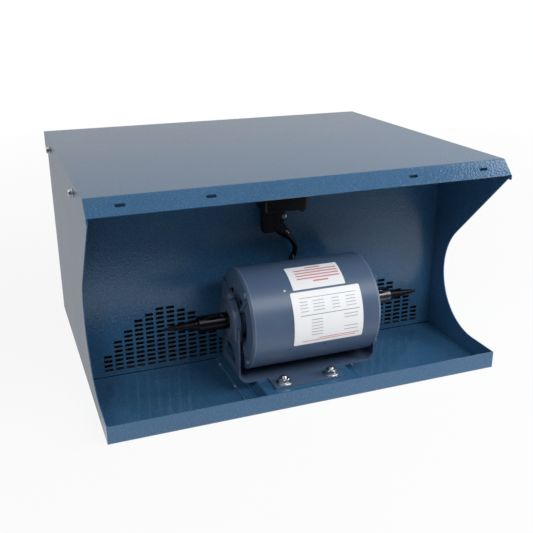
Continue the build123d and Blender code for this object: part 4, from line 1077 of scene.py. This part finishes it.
def card_frame(node, low, high):
    bars = bmesh.new()
    middle_y = (low.y + high.y) / 2
    for x0, x1, z0, z1 in (
        (low.x, high.x, low.z, low.z + CARD),
        (low.x, high.x, high.z - CARD, high.z),
        (low.x, low.x + CARD, low.z + CARD, high.z - CARD),
        (high.x - CARD, high.x, low.z + CARD, high.z - CARD),
    ):
        bar = bmesh.ops.create_cube(bars, size=1.0)["verts"]
        bmesh.ops.scale(bars, vec=(x1 - x0, high.y - low.y, z1 - z0), verts=bar)
        bmesh.ops.translate(bars, vec=((x0 + x1) / 2, middle_y, (z0 + z1) / 2), verts=bar)
    rounding = {"offset": 0.6 * MM, "segments": 2, "affect": "EDGES", "profile": 0.5}
    bmesh.ops.bevel(bars, geom=bars.edges[:], **rounding)
    return shown(f"{node}_card", bars, finishes["filter_media"], 40)


for node in ("left_dust_filter", "right_dust_filter"):
    low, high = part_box(node)
    in_place_of(pleated_media(node, low, high), node)
    in_place_of(card_frame(node, low, high), node)
print("filters pleated")

# %% [markdown]
# ## The rest of the solids
# The motor's core, the fan wheels, the filter rails and the other inner pieces have the right
# shape already. They only need the finish of their own slot, so one loop coats them all.

# %% Coat the solids that stay
for name, solid in solids.items():
    finish = finishes[slot_of[name]]
    if not solid.material_slots:
        solid.data.materials.append(finish)
    for slot in solid.material_slots:
        slot.material = finish
print("solids coated:", len(solids))

# %% [markdown]
# ## Studio
# The photograph was taken in a white studio whose front end, where the camera stands, is dark. So
# the world is white to the eye, and white in reflections behind the machine, but reflections fade
# to dark towards the front. It lends the object only a little plain light, so that a colour comes
# out about as it is written. A room of white walls would give the same, but slowly and with noise.

# %% White world with a dark front
world = bpy.data.worlds.new("studio")
bpy.context.scene.world = world
world.use_nodes = True
air = Tree(world.node_tree)
background = world.node_tree.nodes["Background"]
background.inputs["Color"].default_value = (1, 1, 1, 1)


def ray_kinds(tree):
    """Two wires: 1 for rays from the eye, and 1 for rays from mirrors and glass."""
    kinds = ("Camera", "Glossy", "Transmission")
    wires = [tree.node("ShaderNodeLightPath", output=f"Is {kind} Ray") for kind in kinds]
    eye, mirror, glass = wires
    return eye, (mirror + glass).math("MINIMUM", 1.0) * (1.0 - eye)


AMBIENT, FLOOR_GLOW = 0.03, 0.3
eye, mirror = ray_kinds(air)
heading = air.node("ShaderNodeTexCoord", output="Generated")
back, top = [air.node("ShaderNodeSeparateXYZ", {}, {0: heading}, index) for index in (1, 2)]
studio = (back * 0.9 + top * 0.25 + 0.4).within(0.03, 0.8)
strength = eye + mirror * studio + (1.0 - eye - mirror) * AMBIENT
air.graph.links.new(strength.socket, background.inputs["Strength"])
print("world nodes:", len(air.graph.nodes))

# %% [markdown]
# The machine stands on white paper. Plain white would show in every glossy face, so the paper's
# glow depends on the ray: full for the eye, and for mirrors bright only behind the machine, along
# its front lip and at its right. On everything else it glows a little, as lit paper does. The
# shader's own shadows are mixed in near the machine, so that it stands on something.

# %% Pale floor
floor_work = bmesh.new()
bmesh.ops.create_grid(floor_work, x_segments=1, y_segments=1, size=14.0)
floor = shown("floor", floor_work)
paper = Finish("studio_paper", {"Roughness": 0.9, "Specular IOR Level": 0.1})
fibre = paper.noise(30, 3.0)
paper.feed({"Base Color": paper.colours(fibre, shade(240, 240, 241), shade(245, 245, 246))})
eye, mirror = ray_kinds(paper)
x, y = paper.axis(0), paper.axis(1)
behind = (y * 3.0 + 1.15).within(0.03, 0.6)
at_lip = (y * 6.0 - x * 0.8 + 3.3).math("MINIMUM", y * -6.0 - 0.5).within(0.0, 1.0)
beside = (x * 4.0 - 1.0).math("MINIMUM", y * 5.0 + 4.2).within(0.0, 0.9)
studio = behind.math("MAXIMUM", at_lip).math("MAXIMUM", beside)
light = paper.colours(eye.math("MAXIMUM", studio), (0, 0, 0, 1), (1, 1, 1, 1))
glow = paper.node("ShaderNodeEmission", {}, {"Color": light, "Strength": 1.0})
close = paper.spot((0, 0, 0), 2.4)
share = eye * (1.0 - close * 0.12) + mirror + (1.0 - eye - mirror) * FLOOR_GLOW
inputs = {0: share, 1: Wire(paper, paper.shader.outputs[0]), 2: glow}
lit_paper = paper.node("ShaderNodeMixShader", {}, inputs)
paper.graph.links.new(lit_paper.socket, paper.graph.nodes["Material Output"].inputs["Surface"])
floor.data.materials.append(paper.material)
print("floor nodes:", len(paper.graph.nodes))

# %% [markdown]
# Four square soft boxes do the rest. The main lamp stands far round to the right, where it reaches
# in through the cut-out of the side panel and washes over the vented wall. The other three are
# fill: one higher on the same side, one from the front and one from the left.

# %% Lamps
CABINET_MIDDLE = Vector((0, -0.1, 0.15))


def soft_box(name, place, size, watts):
    """A square lamp that faces the middle of the cabinet."""
    lamp = bpy.data.lights.new(name, "AREA")
    lamp.size = size
    lamp.energy = watts
    holder = bpy.data.objects.new(name, lamp)
    aim = (CABINET_MIDDLE - Vector(place)).to_track_quat("-Z", "Y")
    holder.matrix_world = Matrix.Translation(place) @ aim.to_matrix().to_4x4()
    bpy.context.scene.collection.objects.link(holder)


soft_box("low_right", (1.94, -0.78, 0.83), 0.7, 25)
soft_box("high_right", (1.67, -0.45, 1.5), 0.7, 5)
soft_box("front", (0.71, -1.53, 1.56), 0.9, 19)
soft_box("left", (-1.38, -1.16, 1.41), 0.9, 11)
print("studio lit")
